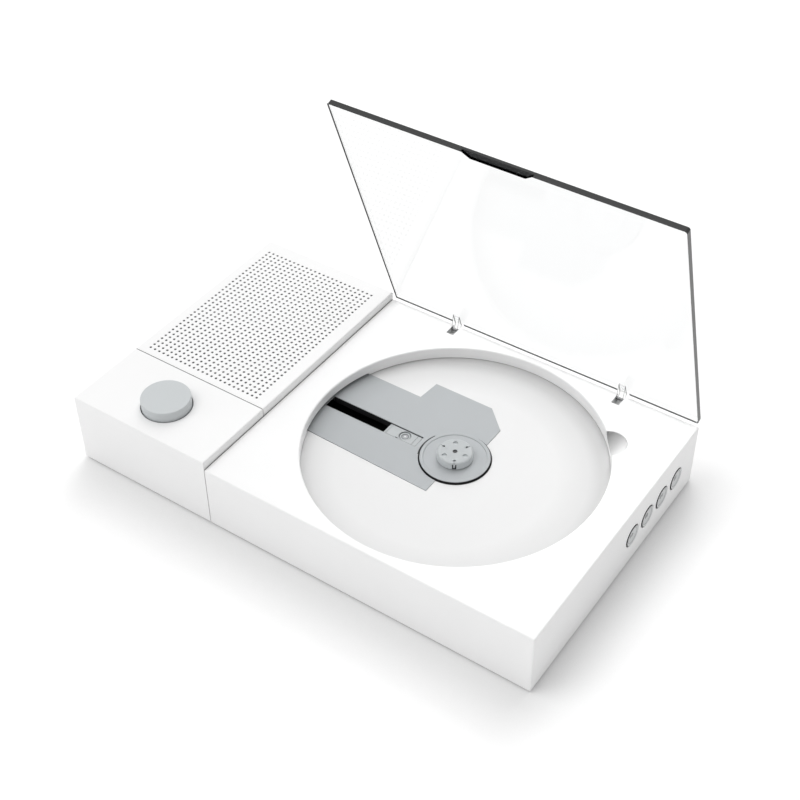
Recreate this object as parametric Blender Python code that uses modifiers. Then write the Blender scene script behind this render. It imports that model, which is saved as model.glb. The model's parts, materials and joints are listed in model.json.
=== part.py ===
"""Compact disc player with a clear hinged lid, a disc well and a speaker and knob module.

Lengths are metres and +Z is up. The origin is the middle of the footprint with the lid
open, level with the underside of the feet. The front faces -Y and the knob is at -X.
"""
import math

import bmesh
import bpy
from mathutils import Matrix, Vector

# Driving dimensions: the disc well, the margins round it and the control module
WELL_RADIUS = 0.0620
WELL_LEFT_MARGIN = 0.0129
WELL_RIGHT_MARGIN = 0.0131
WELL_FRONT_MARGIN = 0.0035
WELL_REAR_MARGIN = 0.0035
FOOT_HEIGHT = 0.0010
PLAYER_HEIGHT = 0.0293
STEP_HEIGHT = 0.0037
CONTROL_WIDTH = 0.0692
CONTROL_DEPTH = 0.0377
WALL = 0.0020
SEAM = 0.0004
EDGE_ROUND = 0.0006
GAP = 0.0003
OVERRUN = 0.0020

# Disc well and its finger notch
WELL_DEPTH = 0.0056
WELL_EDGE_ROUND = 0.0007
WELL_SKIRT = 0.0018
NOTCH_RADIUS = 0.0070
NOTCH_DEPTH = 0.0042
NOTCH_WALL = 0.0012
NOTCH_ANGLE = math.radians(37)
FLOOR_THICKNESS = 0.0015
FLOOR_BEYOND_WELL = 0.0015

# Lid and hinge
LID_THICKNESS = 0.0022
LID_FRONT_INSET = 0.0002
LID_REAR_INSET = 0.0023
LID_LEFT_CLEARANCE = 0.0012
LID_RIGHT_INSET = 0.0010
LID_OPEN_ANGLE = math.radians(70)
LID_SCOOP_WIDTH = 0.0300
LID_SCOOP_INNER_WIDTH = 0.0230
LID_SCOOP_LENGTH = 0.0027
LID_SCOOP_DEPTH = 0.0012
HINGE_FROM_REAR = 0.0014
HINGE_DROP = 0.00125
HINGE_INSET = 0.0350
HINGE_ARM_WIDTH = 0.0030
HINGE_ARM_LENGTH = 0.0064
HINGE_KNUCKLE_RADIUS = 0.0013
HINGE_PIN_RADIUS = 0.0006
HINGE_PIN_CLEARANCE = 0.00015
HINGE_PIN_GRIP = 0.0020
HINGE_SLOT_LENGTH = 0.0066
HINGE_SLOT_DEPTH = 0.0030

# Grey deck cover round the spindle and the pickup slot
DECK_PROUD = 0.0002
DECK_THICKNESS = 0.0004
DECK_GAP = 0.00025
DECK_FRONT = 0.0197
DECK_FRONT_CORNER = 0.0215
DECK_REAR = 0.0228
DECK_SHOULDER = 0.0318
DECK_SHOULDER_CORNER = 0.0011
DECK_SHOULDER_REAR = 0.0334
DECK_TIP = 0.0066
DECK_TIP_REAR = 0.0240
DECK_TIP_CORNER = 0.0098
SKIRT_RELIEF = 0.0010
TURNTABLE_RADIUS = 0.0143
TURNTABLE_CLEARANCE = 0.0005
TURNTABLE_RISE = 0.0005
TURNTABLE_THICKNESS = 0.0012
TURNTABLE_RIM = 0.0010
TURNTABLE_RIM_RISE = 0.0003
HUB_RADIUS = 0.0073
HUB_BELOW_TOP = 0.0015
HUB_ROUND = 0.0004
HUB_BORE = 0.0009
HUB_HOLE_RADIUS = 0.0009
HUB_HOLE_RING = 0.0048
HUB_HOLE_ANGLE = 0
HUB_HOLE_COUNT = 3
CLAW_ANGLE = math.radians(-60)
CLAW_WIDTH = 0.0014
CLAW_LENGTH = 0.0030
CLAW_HEIGHT = 0.0012
CLAW_LIFT = 0.0008
CLAW_PROUD = 0.0004
CLAW_TRAVEL = 0.0006
SPINDLE_RADIUS = 0.00075
SPINDLE_MOTOR_RADIUS = 0.0110
SPINDLE_MOTOR_TOP_GAP = 0.0010

# Pickup sled on its two rods
SLOT_WIDTH = 0.0063
SLOT_INNER = 0.0170
LENS_FROM_SPINDLE = 0.0242
SLED_LENGTH = 0.0180
SLED_INNER = 0.0160
SLED_WIDTH = 0.0244
SLED_HEIGHT = 0.0070
SLED_TOP_DROP = 0.0034
SLED_CLEARANCE = 0.00025
SLED_NECK_DROP = 0.0003
SLED_NECK_OUTER = 0.0330
SLED_NECK_INNER = 0.0174
LENS_HOLDER_RADIUS = 0.0023
LENS_HOLDER_HEIGHT = 0.0032
LENS_RADIUS = 0.0014
LENS_THICKNESS = 0.0008
FOCUS_TRAVEL = 0.0004
ROD_RADIUS = 0.0010
ROD_SPACING = 0.0180
ROD_CLEARANCE = 0.00015
ROD_BELOW_SLED_TOP = 0.0048
RACK_WIDTH = 0.0018
RACK_HEIGHT = 0.0020
RACK_LENGTH = 0.0375

# Drive gears
GEAR_MODULE = 0.0005
SMALL_GEAR_TEETH = 12
LARGE_GEAR_TEETH = 36
PINION_TEETH = 10
GEAR_THICKNESS = 0.0014
SMALL_GEAR_THICKNESS = 0.0032
GEAR_FROM_SPINDLE = 0.0339
GEAR_BORE = 0.0008
GEAR_PIN_RADIUS = 0.0006
PINION_SHAFT_RADIUS = 0.0005
PINION_SHAFT_LENGTH = 0.0045
TOOTH_TIP_SHARE = 0.18
TOOTH_ROOT_SHARE = 0.44
ADDENDUM_SHARE = 0.75
DEDENDUM_SHARE = 1.20

# Chassis below the deck
FRAME_THICKNESS = 0.0015
FRAME_HEIGHT = 0.0080
FRAME_BEYOND_WELL = 0.0098
FRAME_INNER = 0.0140
FRAME_FRONT = 0.0285
FRAME_REAR = 0.0235
FRAME_LUG = 0.0028
ROD_END_INSET = 0.0006
ROD_INNER = 0.0120
DAMPER_RADIUS = 0.0030
DAMPER_INSET = 0.0045
SLED_MOTOR_RADIUS = 0.0060

# Base, feet and fasteners
BASE_THICKNESS = 0.0020
FOOT_RADIUS = 0.0050
FOOT_INSET = 0.0110
SCREW_HEAD_RADIUS = 0.0026
SCREW_HEAD_HEIGHT = 0.0010
SCREW_RADIUS = 0.0012
SCREW_LENGTH = 0.0070
SCREW_FROM_SIDE = 0.0280
SCREW_FROM_END = 0.0080

# Volume knob and its potentiometer
KNOB_RADIUS = 0.0104
KNOB_RISE = 0.0044
KNOB_SINK = 0.0017
KNOB_CLEARANCE = 0.0004
KNOB_ROUND = 0.0005
KNOB_FROM_LEFT = 0.0349
KNOB_FROM_FRONT = 0.0181
KNOB_SOCKET_DEPTH = 0.0030
KNOB_SHAFT_RADIUS = 0.0030
POT_RADIUS = 0.0080
POT_HEIGHT = 0.0070
POT_BELOW_TOP = 0.0048
CONTROL_BOARD_SIDE_GAP = 0.0076
CONTROL_BOARD_DEPTH = 0.0260
BOARD_THICKNESS = 0.0016
POST_RADIUS = 0.0025
POST_INSET = 0.0035

# Loudspeaker and the grille above it
GRILLE_PITCH = 0.0072
GRILLE_HOLE = 0.0022
GRILLE_LEFT_MARGIN = 0.0050
GRILLE_RIGHT_MARGIN = 0.0064
GRILLE_FRONT_MARGIN = 0.0039
GRILLE_REAR_MARGIN = 0.0072
SPEAKER_SIDE_GAP = 0.0056
SPEAKER_FLANGE = 0.0015
SPEAKER_RIM = 0.0030
SPEAKER_DEPTH = 0.0130
SPEAKER_NECK = 0.0110
SPEAKER_WALL = 0.0010
MAGNET_RADIUS = 0.0150
MAGNET_HEIGHT = 0.0060
CONE_INSET = 0.0075
CONE_INNER = 0.0065
CONE_DEPTH = 0.0060
CONE_THICKNESS = 0.0006
SURROUND_HEIGHT = 0.0012
DUST_CAP_RADIUS = 0.0062
DUST_CAP_HEIGHT = 0.0022

# Side buttons and their switches
BUTTON_COUNT = 4
BUTTON_RADIUS = 0.0050
BUTTON_CLEARANCE = 0.0004
BUTTON_PITCH = 0.01248
BUTTON_FROM_REAR = 0.01726
BUTTON_HEIGHT = 0.0142
BUTTON_RECESS = 0.0002
BUTTON_THICKNESS = 0.0030
BUTTON_DISH = 0.0004
BUTTON_TRAVEL = 0.0008
BUTTON_STEM_RADIUS = 0.0015
BUTTON_STEM_LENGTH = 0.0020
SWITCH_SIDE = 0.0060
SWITCH_THICKNESS = 0.0030
BUTTON_BOARD_MARGIN = 0.0060
BUTTON_BOARD_HEIGHT = 0.0190

# Main board and rear power inlet
MAIN_BOARD_WIDTH = 0.0400
MAIN_BOARD_TO_DAMPER = 0.0012
MAIN_BOARD_FROM_RIGHT = 0.0340
MAIN_BOARD_HEIGHT = 0.0050
SOCKET_WIDTH = 0.0092
SOCKET_HEIGHT = 0.0034
SOCKET_DEPTH = 0.0076
SOCKET_MOUTH_WIDTH = 0.0084
SOCKET_MOUTH_HEIGHT = 0.0026
SOCKET_MOUTH_DEPTH = 0.0058
SOCKET_FROM_RIGHT = 0.0480

# Levels and edges worked out from the sizes above
UNDERSIDE = FOOT_HEIGHT
PLAYER_TOP = UNDERSIDE + PLAYER_HEIGHT
CONTROL_TOP = PLAYER_TOP + STEP_HEIGHT
PLAYER_WIDTH = WELL_LEFT_MARGIN + WELL_RADIUS * 2 + WELL_RIGHT_MARGIN
BODY_WIDTH = CONTROL_WIDTH + SEAM + PLAYER_WIDTH
BODY_DEPTH = WELL_FRONT_MARGIN + WELL_RADIUS * 2 + WELL_REAR_MARGIN
LEFT = -BODY_WIDTH / 2
RIGHT = BODY_WIDTH / 2
LID_UNDERSIDE = CONTROL_TOP - LID_THICKNESS
HINGE_Z = PLAYER_TOP - HINGE_DROP
LID_BEHIND_HINGE = HINGE_FROM_REAR - LID_REAR_INSET
LID_REACH = (
    LID_BEHIND_HINGE * math.cos(LID_OPEN_ANGLE)
    + (CONTROL_TOP - HINGE_Z) * math.sin(LID_OPEN_ANGLE)
    - HINGE_FROM_REAR
)
FRONT = -(BODY_DEPTH + LID_REACH) / 2
REAR = FRONT + BODY_DEPTH
CONTROL_RIGHT = LEFT + CONTROL_WIDTH
PLAYER_LEFT = CONTROL_RIGHT + SEAM
HINGE_Y = REAR - HINGE_FROM_REAR
WELL_X = RIGHT - WELL_RIGHT_MARGIN - WELL_RADIUS
WELL_Y = FRONT + WELL_FRONT_MARGIN + WELL_RADIUS
FLOOR_TOP = PLAYER_TOP - WELL_DEPTH
DECK_TOP = FLOOR_TOP + DECK_PROUD
BASE_TOP = UNDERSIDE + BASE_THICKNESS
FRAME_BOTTOM = UNDERSIDE + FRAME_HEIGHT
FRAME_TOP = FRAME_BOTTOM + FRAME_THICKNESS
FRAME_OUTER = WELL_RADIUS + FRAME_BEYOND_WELL
ROD_OUTER = FRAME_OUTER - ROD_END_INSET
SLED_TOP = DECK_TOP - SLED_TOP_DROP
ROD_Z = SLED_TOP - ROD_BELOW_SLED_TOP
SLED_BOTTOM = SLED_TOP - SLED_HEIGHT
LENS_X = WELL_X - LENS_FROM_SPINDLE
RACK_Z = SLED_BOTTOM + GAP
RACK_PITCH_Y = WELL_Y - SLED_WIDTH / 2 - GAP - RACK_WIDTH
GEAR_X = WELL_X - GEAR_FROM_SPINDLE
GEAR_Y = RACK_PITCH_Y - GEAR_MODULE * SMALL_GEAR_TEETH / 2
LARGE_GEAR_Z = FRAME_TOP + GAP
PINION_X = GEAR_X - GEAR_MODULE * (LARGE_GEAR_TEETH + PINION_TEETH) / 2
KNOB_X = LEFT + KNOB_FROM_LEFT
KNOB_Y = FRONT + KNOB_FROM_FRONT
POT_TOP = CONTROL_TOP - POT_BELOW_TOP
CONTROL_BOARD_TOP = POT_TOP - POT_HEIGHT - GAP
GRILLE_LOW = (LEFT + GRILLE_LEFT_MARGIN, FRONT + CONTROL_DEPTH + SEAM + GRILLE_FRONT_MARGIN)
GRILLE_HIGH = (CONTROL_RIGHT - GRILLE_RIGHT_MARGIN, REAR - GRILLE_REAR_MARGIN)
GRILLE_X = (GRILLE_LOW[0] + GRILLE_HIGH[0]) / 2
GRILLE_Y = (GRILLE_LOW[1] + GRILLE_HIGH[1]) / 2
GRILLE_COLUMNS = int((GRILLE_HIGH[0] - GRILLE_LOW[0] - GRILLE_HOLE) / GRILLE_PITCH) + 1
GRILLE_ROWS = int((GRILLE_HIGH[1] - GRILLE_LOW[1] - GRILLE_HOLE) / GRILLE_PITCH) + 1
SPEAKER_RADIUS = CONTROL_WIDTH / 2 - WALL - SPEAKER_SIDE_GAP
SPEAKER_TOP = CONTROL_TOP - WALL - GAP
CONE_OUTER = SPEAKER_RADIUS - CONE_INSET
BUTTON_Z = UNDERSIDE + BUTTON_HEIGHT
BUTTON_FACE = RIGHT - BUTTON_RECESS
BUTTON_STEM_END = BUTTON_FACE - BUTTON_THICKNESS - BUTTON_STEM_LENGTH
SWITCH_FACE = BUTTON_STEM_END - BUTTON_TRAVEL - GAP
BUTTON_BOARD_FACE = SWITCH_FACE - SWITCH_THICKNESS - GAP
MAIN_BOARD_BOTTOM = UNDERSIDE + MAIN_BOARD_HEIGHT
MAIN_BOARD_TOP = MAIN_BOARD_BOTTOM + BOARD_THICKNESS
SOCKET_X = RIGHT - SOCKET_FROM_RIGHT
SOCKET_BOTTOM = MAIN_BOARD_TOP + GAP
SOCKET_Z = SOCKET_BOTTOM + SOCKET_HEIGHT / 2

FINE_SIDES = 64
ROUND_SIDES = 24
SMALL_SIDES = 12
ROUND_STEPS = 4
DECK_OUTER_POINTS = 12
MERGE = 0.00001

for old in list(bpy.data.objects):
    bpy.data.objects.remove(old, do_unlink=True)

PARTS = bpy.data.collections.new("cd_player")
CUTTERS = bpy.data.collections.new("cutters")
bpy.context.scene.collection.children.link(PARTS)
bpy.context.scene.collection.children.link(CUTTERS)


def make_material(name, color, roughness, metallic=0.0, alpha=1.0):
    """A Principled material in one colour."""
    material = bpy.data.materials.new(name)
    material.use_nodes = True
    shader = material.node_tree.nodes["Principled BSDF"]
    shader.inputs["Base Color"].default_value = (*color, 1.0)
    shader.inputs["Roughness"].default_value = roughness
    shader.inputs["Metallic"].default_value = metallic
    shader.inputs["Alpha"].default_value = alpha
    return material


WHITE = make_material("white_shell", (0.90, 0.90, 0.90), 0.55)
KNOB_GREY = make_material("knob_grey", (0.60, 0.63, 0.64), 0.50)
DECK_GREY = make_material("deck_grey", (0.50, 0.54, 0.55), 0.50)
HUB_GREY = make_material("hub_grey", (0.60, 0.63, 0.64), 0.45)
CLEAR = make_material("clear_acrylic", (0.95, 0.97, 0.97), 0.05, alpha=0.2)
BLACK = make_material("black_plastic", (0.02, 0.02, 0.02), 0.50)
RUBBER = make_material("rubber", (0.05, 0.05, 0.05), 0.80)
STEEL = make_material("steel", (0.60, 0.60, 0.60), 0.30, metallic=1.0)
BOARD = make_material("board", (0.03, 0.16, 0.07), 0.50)
PAPER = make_material("cone_paper", (0.05, 0.05, 0.05), 0.85)
GLASS = make_material("lens_glass", (0.35, 0.45, 0.60), 0.05)
GEAR_WHITE = make_material("gear_white", (0.80, 0.80, 0.76), 0.45)


def add(name, mesh, material):
    """Puts a mesh in the parts as a named piece, or in the cutters where it has no material."""
    piece = bpy.data.objects.new(name, mesh)
    if material is None:
        CUTTERS.objects.link(piece)
        piece.hide_render = True
        piece.display_type = "WIRE"
    else:
        PARTS.objects.link(piece)
        mesh.materials.clear()
        mesh.materials.append(material)
    return piece


def mesh_from(bm, name, smooth):
    """A mesh from a bmesh, smooth on round stretches."""
    mesh = bpy.data.meshes.new(name)
    bm.to_mesh(mesh)
    bm.free()
    if smooth:
        mesh.shade_smooth()
        mesh.set_sharp_from_angle(angle=math.radians(40))
    return mesh


def box(name, low, high, material=None):
    """A block between two corners."""
    low, high = Vector(low), Vector(high)
    bm = bmesh.new()
    bmesh.ops.create_cube(bm, size=1)
    bmesh.ops.scale(bm, vec=high - low, verts=bm.verts)
    piece = add(name, mesh_from(bm, name, False), material)
    piece.location = (low + high) / 2
    return piece


def cylinder(name, radius, low, high, centre, material=None, sides=ROUND_SIDES, axis="Z"):
    """A round bar from low to high along an axis, through a centre given across it."""
    bm = bmesh.new()
    bmesh.ops.create_cone(
        bm, cap_ends=True, segments=sides, radius1=radius, radius2=radius, depth=high - low
    )
    piece = add(name, mesh_from(bm, name, True), material)
    middle = (low + high) / 2
    if axis == "X":
        piece.rotation_euler = (0, math.radians(90), 0)
        piece.location = (middle, *centre)
    else:
        piece.location = (*centre, middle)
    return piece


def turned(name, profile, centre, material=None, sides=ROUND_SIDES, closed=False):
    """A profile of (radius, height) points turned round a vertical line.

    It starts and ends on the line, or is closed into a ring, and runs down its outer side.
    """
    bm = bmesh.new()
    verts = [bm.verts.new((radius, 0, height)) for radius, height in profile]
    for first, second in zip(verts, verts[1:]):
        bm.edges.new((first, second))
    if closed:
        bm.edges.new((verts[-1], verts[0]))
    piece = add(name, mesh_from(bm, name, False), material)
    piece.location = (*centre, 0)
    screw = piece.modifiers.new("turn", "SCREW")
    screw.steps = sides
    screw.render_steps = sides
    screw.use_merge_vertices = True
    screw.merge_threshold = MERGE
    screw.use_smooth_shade = True
    return piece


def flat_outline(name, points, low, high, material=None):
    """A flat outline in X and Y, given thickness from low to high along Z."""
    curve = bpy.data.curves.new(name, "CURVE")
    curve.dimensions = "2D"
    curve.fill_mode = "BOTH"
    curve.extrude = (high - low) / 2
    spline = curve.splines.new("POLY")
    spline.points.add(len(points) - 1)
    for point, place in zip(spline.points, points):
        point.co = (*place, 0, 1)
    spline.use_cyclic_u = True
    guide = bpy.data.objects.new(name + "_outline", curve)
    CUTTERS.objects.link(guide)
    depsgraph = bpy.context.evaluated_depsgraph_get()
    mesh = bpy.data.meshes.new_from_object(guide.evaluated_get(depsgraph))
    bpy.data.objects.remove(guide)
    bm = bmesh.new()
    bm.from_mesh(mesh)
    bmesh.ops.remove_doubles(bm, verts=bm.verts, dist=MERGE)
    bmesh.ops.recalc_face_normals(bm, faces=bm.faces)
    bm.to_mesh(mesh)
    bm.free()
    piece = add(name, mesh, material)
    piece.location = (0, 0, (low + high) / 2)
    return piece


def combine(piece, tool, operation):
    """Cuts a tool away from a piece, or joins it on."""
    modifier = piece.modifiers.new(operation.lower(), "BOOLEAN")
    modifier.operation = operation
    modifier.solver = "EXACT"
    modifier.object = tool


def cut(piece, *tools):
    for tool in tools:
        combine(piece, tool, "DIFFERENCE")


def join(piece, *tools):
    for tool in tools:
        combine(piece, tool, "UNION")


def joint_empty(name, place):
    """An empty on a joint's axis, which carries the pieces that move together."""
    empty = bpy.data.objects.new(name, None)
    PARTS.objects.link(empty)
    empty.location = place
    return empty


def carry(empty, *pieces):
    """Parents pieces to an empty without moving them."""
    inverse = Matrix.Translation(empty.location).inverted()
    for piece in pieces:
        piece.parent = empty
        piece.matrix_parent_inverse = inverse


def ring_points(radius, centre, start, end, count):
    """Points along an arc."""
    steps = [start + (end - start) * step / (count - 1) for step in range(count)]
    return [(centre[0] + radius * math.cos(a), centre[1] + radius * math.sin(a)) for a in steps]


def at_angle(centre, radius, angle):
    """A place at a radius and an angle round a centre."""
    return centre[0] + radius * math.cos(angle), centre[1] + radius * math.sin(angle)


SIDES = {
    "-X": Vector((-1, 0, 0)), "+X": Vector((1, 0, 0)), "-Y": Vector((0, -1, 0)),
    "+Y": Vector((0, 1, 0)), "+Z": Vector((0, 0, 1)), "-Z": Vector((0, 0, -1)),
}


def shell(name, low, high, open_sides, rounded):
    """A moulded cover: a box without its open sides, solid to the wall, with rounded outer edges."""
    low, high = Vector(low), Vector(high)
    bm = bmesh.new()
    bmesh.ops.create_cube(bm, size=1)
    bmesh.ops.scale(bm, vec=high - low, verts=bm.verts)
    side_of = {}
    for face in bm.faces:
        side_of[face] = max(SIDES, key=lambda side: SIDES[side].dot(face.normal))
    weights = bm.edges.layers.float.new("bevel_weight_edge")
    for edge in bm.edges:
        sides = {side_of[face] for face in edge.link_faces}
        if any(sides == set(pair) for pair in rounded):
            edge[weights] = 1
    gone = [face for face in bm.faces if side_of[face] in open_sides]
    bmesh.ops.delete(bm, geom=gone, context="FACES")
    piece = add(name, mesh_from(bm, name, False), WHITE)
    piece.location = (low + high) / 2
    wall = piece.modifiers.new("wall", "SOLIDIFY")
    wall.thickness = WALL
    wall.offset = -1
    wall.use_even_offset = True
    bevel = piece.modifiers.new("round", "BEVEL")
    bevel.limit_method = "WEIGHT"
    bevel.width = EDGE_ROUND
    bevel.segments = 2
    return piece


# Control module, front part with the knob opening
control_housing = shell(
    "control_housing",
    (LEFT, FRONT, UNDERSIDE),
    (CONTROL_RIGHT, FRONT + CONTROL_DEPTH, CONTROL_TOP),
    {"-Z", "+Y"},
    [("-X", "-Y"), ("-X", "+Z"), ("-Y", "+Z"), ("+X", "+Z")],
)
cut(
    control_housing,
    cylinder(
        "knob_opening", KNOB_RADIUS + KNOB_CLEARANCE, CONTROL_TOP - WALL - OVERRUN,
        CONTROL_TOP + OVERRUN, (KNOB_X, KNOB_Y), sides=ROUND_SIDES,
    ),
)

# Control module, rear part with the grille
speaker_housing = shell(
    "speaker_housing",
    (LEFT, FRONT + CONTROL_DEPTH + SEAM, UNDERSIDE),
    (CONTROL_RIGHT, REAR, CONTROL_TOP),
    {"-Z", "-Y"},
    [("-X", "+Y"), ("-X", "+Z"), ("+Y", "+Z"), ("+X", "+Z")],
)


def grille_cutter():
    """A square grid of small square bars."""
    bm = bmesh.new()
    height = WALL + OVERRUN
    for column in range(GRILLE_COLUMNS):
        for row in range(GRILLE_ROWS):
            across = (column - (GRILLE_COLUMNS - 1) / 2) * GRILLE_PITCH
            along = (row - (GRILLE_ROWS - 1) / 2) * GRILLE_PITCH
            bar = bmesh.ops.create_cube(bm, size=1)["verts"]
            bmesh.ops.scale(bm, vec=(GRILLE_HOLE, GRILLE_HOLE, height), verts=bar)
            bmesh.ops.translate(bm, vec=(across, along, 0), verts=bar)
    cutter = add("grille_holes", mesh_from(bm, "grille_holes", False), None)
    cutter.location = (GRILLE_X, GRILLE_Y, CONTROL_TOP - WALL / 2)
    return cutter


cut(speaker_housing, grille_cutter())

# Player module: cover, well wall, finger notch, hinge slots, button holes and inlet opening
player_housing = shell(
    "player_housing",
    (PLAYER_LEFT, FRONT, UNDERSIDE),
    (RIGHT, REAR, PLAYER_TOP),
    {"-Z"},
    [("+X", "-Y"), ("+X", "+Y"), ("-Y", "+Z"), ("+Y", "+Z"), ("+X", "+Z")],
)
SKIRT_BOTTOM = FLOOR_TOP + GAP
INSIDE_TOP = PLAYER_TOP - WALL / 2
NOTCH_PLACE = at_angle((WELL_X, WELL_Y), WELL_RADIUS, NOTCH_ANGLE)


def well_cutter():
    """The round space of the well, wider at its rounded top edge."""
    rim = WELL_RADIUS + WELL_EDGE_ROUND
    edge = ring_points(
        WELL_EDGE_ROUND, (rim, PLAYER_TOP - WELL_EDGE_ROUND), math.radians(90),
        math.radians(180), ROUND_STEPS + 1,
    )
    profile = [(0, PLAYER_TOP + OVERRUN), (rim, PLAYER_TOP + OVERRUN), *edge]
    profile += [(WELL_RADIUS, SKIRT_BOTTOM - OVERRUN), (0, SKIRT_BOTTOM - OVERRUN)]
    return turned("well_space", profile, (WELL_X, WELL_Y), sides=FINE_SIDES)


def notch_cutter():
    """The bowl that a fingertip reaches into beside the disc."""
    bm = bmesh.new()
    bmesh.ops.create_uvsphere(bm, u_segments=ROUND_SIDES, v_segments=SMALL_SIDES, radius=1)
    bmesh.ops.scale(bm, vec=(NOTCH_RADIUS, NOTCH_RADIUS, NOTCH_DEPTH), verts=bm.verts)
    cutter = add("notch_space", mesh_from(bm, "notch_space", False), None)
    cutter.location = (*NOTCH_PLACE, PLAYER_TOP)
    return cutter


join(
    player_housing,
    cylinder(
        "well_wall", WELL_RADIUS + WELL_SKIRT, SKIRT_BOTTOM, INSIDE_TOP,
        (WELL_X, WELL_Y), sides=FINE_SIDES,
    ),
    cylinder(
        "notch_wall", NOTCH_RADIUS + NOTCH_WALL, SKIRT_BOTTOM, INSIDE_TOP, NOTCH_PLACE,
    ),
)
cut(player_housing, well_cutter(), notch_cutter())
cut(
    player_housing,
    box(
        "skirt_relief",
        (WELL_X - WELL_RADIUS - WELL_SKIRT - OVERRUN, WELL_Y - DECK_FRONT, SKIRT_BOTTOM - OVERRUN),
        (WELL_X - WELL_RADIUS / 2, WELL_Y + DECK_REAR, SKIRT_BOTTOM + SKIRT_RELIEF),
    ),
)

HINGE_SPOTS = [PLAYER_LEFT + HINGE_INSET - WALL / 2, RIGHT - HINGE_INSET]
for number, spot in enumerate(HINGE_SPOTS, start=1):
    half_slot = HINGE_ARM_WIDTH / 2 + GAP
    slot = box(
        f"hinge_slot_{number}",
        (spot - half_slot, REAR - HINGE_SLOT_LENGTH, PLAYER_TOP - HINGE_SLOT_DEPTH),
        (spot + half_slot, REAR + OVERRUN, PLAYER_TOP + OVERRUN),
    )
    half_pin = half_slot + HINGE_PIN_GRIP
    pin_hole = cylinder(
        f"hinge_pin_hole_{number}", HINGE_PIN_RADIUS + HINGE_PIN_CLEARANCE,
        spot - half_pin, spot + half_pin, (HINGE_Y, HINGE_Z), sides=SMALL_SIDES, axis="X",
    )
    cut(player_housing, slot, pin_hole)
    cylinder(
        f"hinge_pin_{number}", HINGE_PIN_RADIUS, spot - half_pin + GAP, spot + half_pin - GAP,
        (HINGE_Y, HINGE_Z), STEEL, sides=SMALL_SIDES, axis="X",
    )

FIRST_BUTTON = REAR - BUTTON_FROM_REAR - BUTTON_PITCH * (BUTTON_COUNT - 1)
BUTTON_PLACES = [FIRST_BUTTON + BUTTON_PITCH * n for n in range(BUTTON_COUNT)]
for number, place in enumerate(BUTTON_PLACES, start=1):
    cut(
        player_housing,
        cylinder(
            f"button_hole_{number}", BUTTON_RADIUS, RIGHT - WALL - OVERRUN, RIGHT + OVERRUN,
            (place, BUTTON_Z), axis="X",
        ),
    )
cut(
    player_housing,
    box(
        "inlet_opening",
        (SOCKET_X - SOCKET_WIDTH / 2 - GAP, REAR - WALL - OVERRUN, SOCKET_BOTTOM - GAP),
        (SOCKET_X + SOCKET_WIDTH / 2 + GAP, REAR + OVERRUN, SOCKET_BOTTOM + SOCKET_HEIGHT + GAP),
    ),
)

# Well floor and the grey deck cover let into it
well_floor = cylinder(
    "well_floor", WELL_RADIUS + FLOOR_BEYOND_WELL, FLOOR_TOP - FLOOR_THICKNESS, FLOOR_TOP,
    (WELL_X, WELL_Y), WHITE, sides=FINE_SIDES,
)
DECK_OUTER = WELL_RADIUS + FLOOR_BEYOND_WELL


def deck_outline(margin, outer_radius):
    """The deck cover's outline, grown by a margin, with its outer edge on a circle."""
    front = -DECK_FRONT - margin
    rear = DECK_REAR + margin
    shoulder_rear = DECK_SHOULDER_REAR + margin
    shoulder = -DECK_SHOULDER - margin
    tip = DECK_TIP + margin
    start = math.radians(180) - math.asin(rear / outer_radius)
    end = math.radians(180) - math.asin(front / outer_radius)
    places = [
        (margin, -DECK_FRONT_CORNER - margin),
        (margin, -TURNTABLE_RADIUS),
        (tip, -TURNTABLE_RADIUS / 2),
        (tip, DECK_TIP_REAR),
        (tip - DECK_TIP_CORNER, shoulder_rear),
        (shoulder + DECK_SHOULDER_CORNER, shoulder_rear),
        (shoulder, rear),
        *ring_points(outer_radius, (0, 0), start, end, DECK_OUTER_POINTS),
    ]
    return [(WELL_X + x, WELL_Y + y) for x, y in places]


cut(
    well_floor,
    flat_outline(
        "deck_recess", deck_outline(DECK_GAP, DECK_OUTER + OVERRUN),
        FLOOR_TOP - FLOOR_THICKNESS - OVERRUN, FLOOR_TOP + OVERRUN,
    ),
    cylinder(
        "turntable_recess", TURNTABLE_RADIUS + TURNTABLE_CLEARANCE,
        FLOOR_TOP - FLOOR_THICKNESS - OVERRUN, FLOOR_TOP + OVERRUN, (WELL_X, WELL_Y),
    ),
)
deck_cover = flat_outline(
    "deck_cover", deck_outline(0, DECK_OUTER), DECK_TOP - DECK_THICKNESS, DECK_TOP, DECK_GREY
)
cut(
    deck_cover,
    cylinder(
        "turntable_opening", TURNTABLE_RADIUS + TURNTABLE_CLEARANCE,
        DECK_TOP - DECK_THICKNESS - OVERRUN, DECK_TOP + OVERRUN, (WELL_X, WELL_Y),
    ),
    box(
        "pickup_slot",
        (WELL_X - WELL_RADIUS, WELL_Y - SLOT_WIDTH / 2, DECK_TOP - DECK_THICKNESS - OVERRUN),
        (WELL_X - SLOT_INNER, WELL_Y + SLOT_WIDTH / 2, DECK_TOP + OVERRUN),
    ),
)

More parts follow.
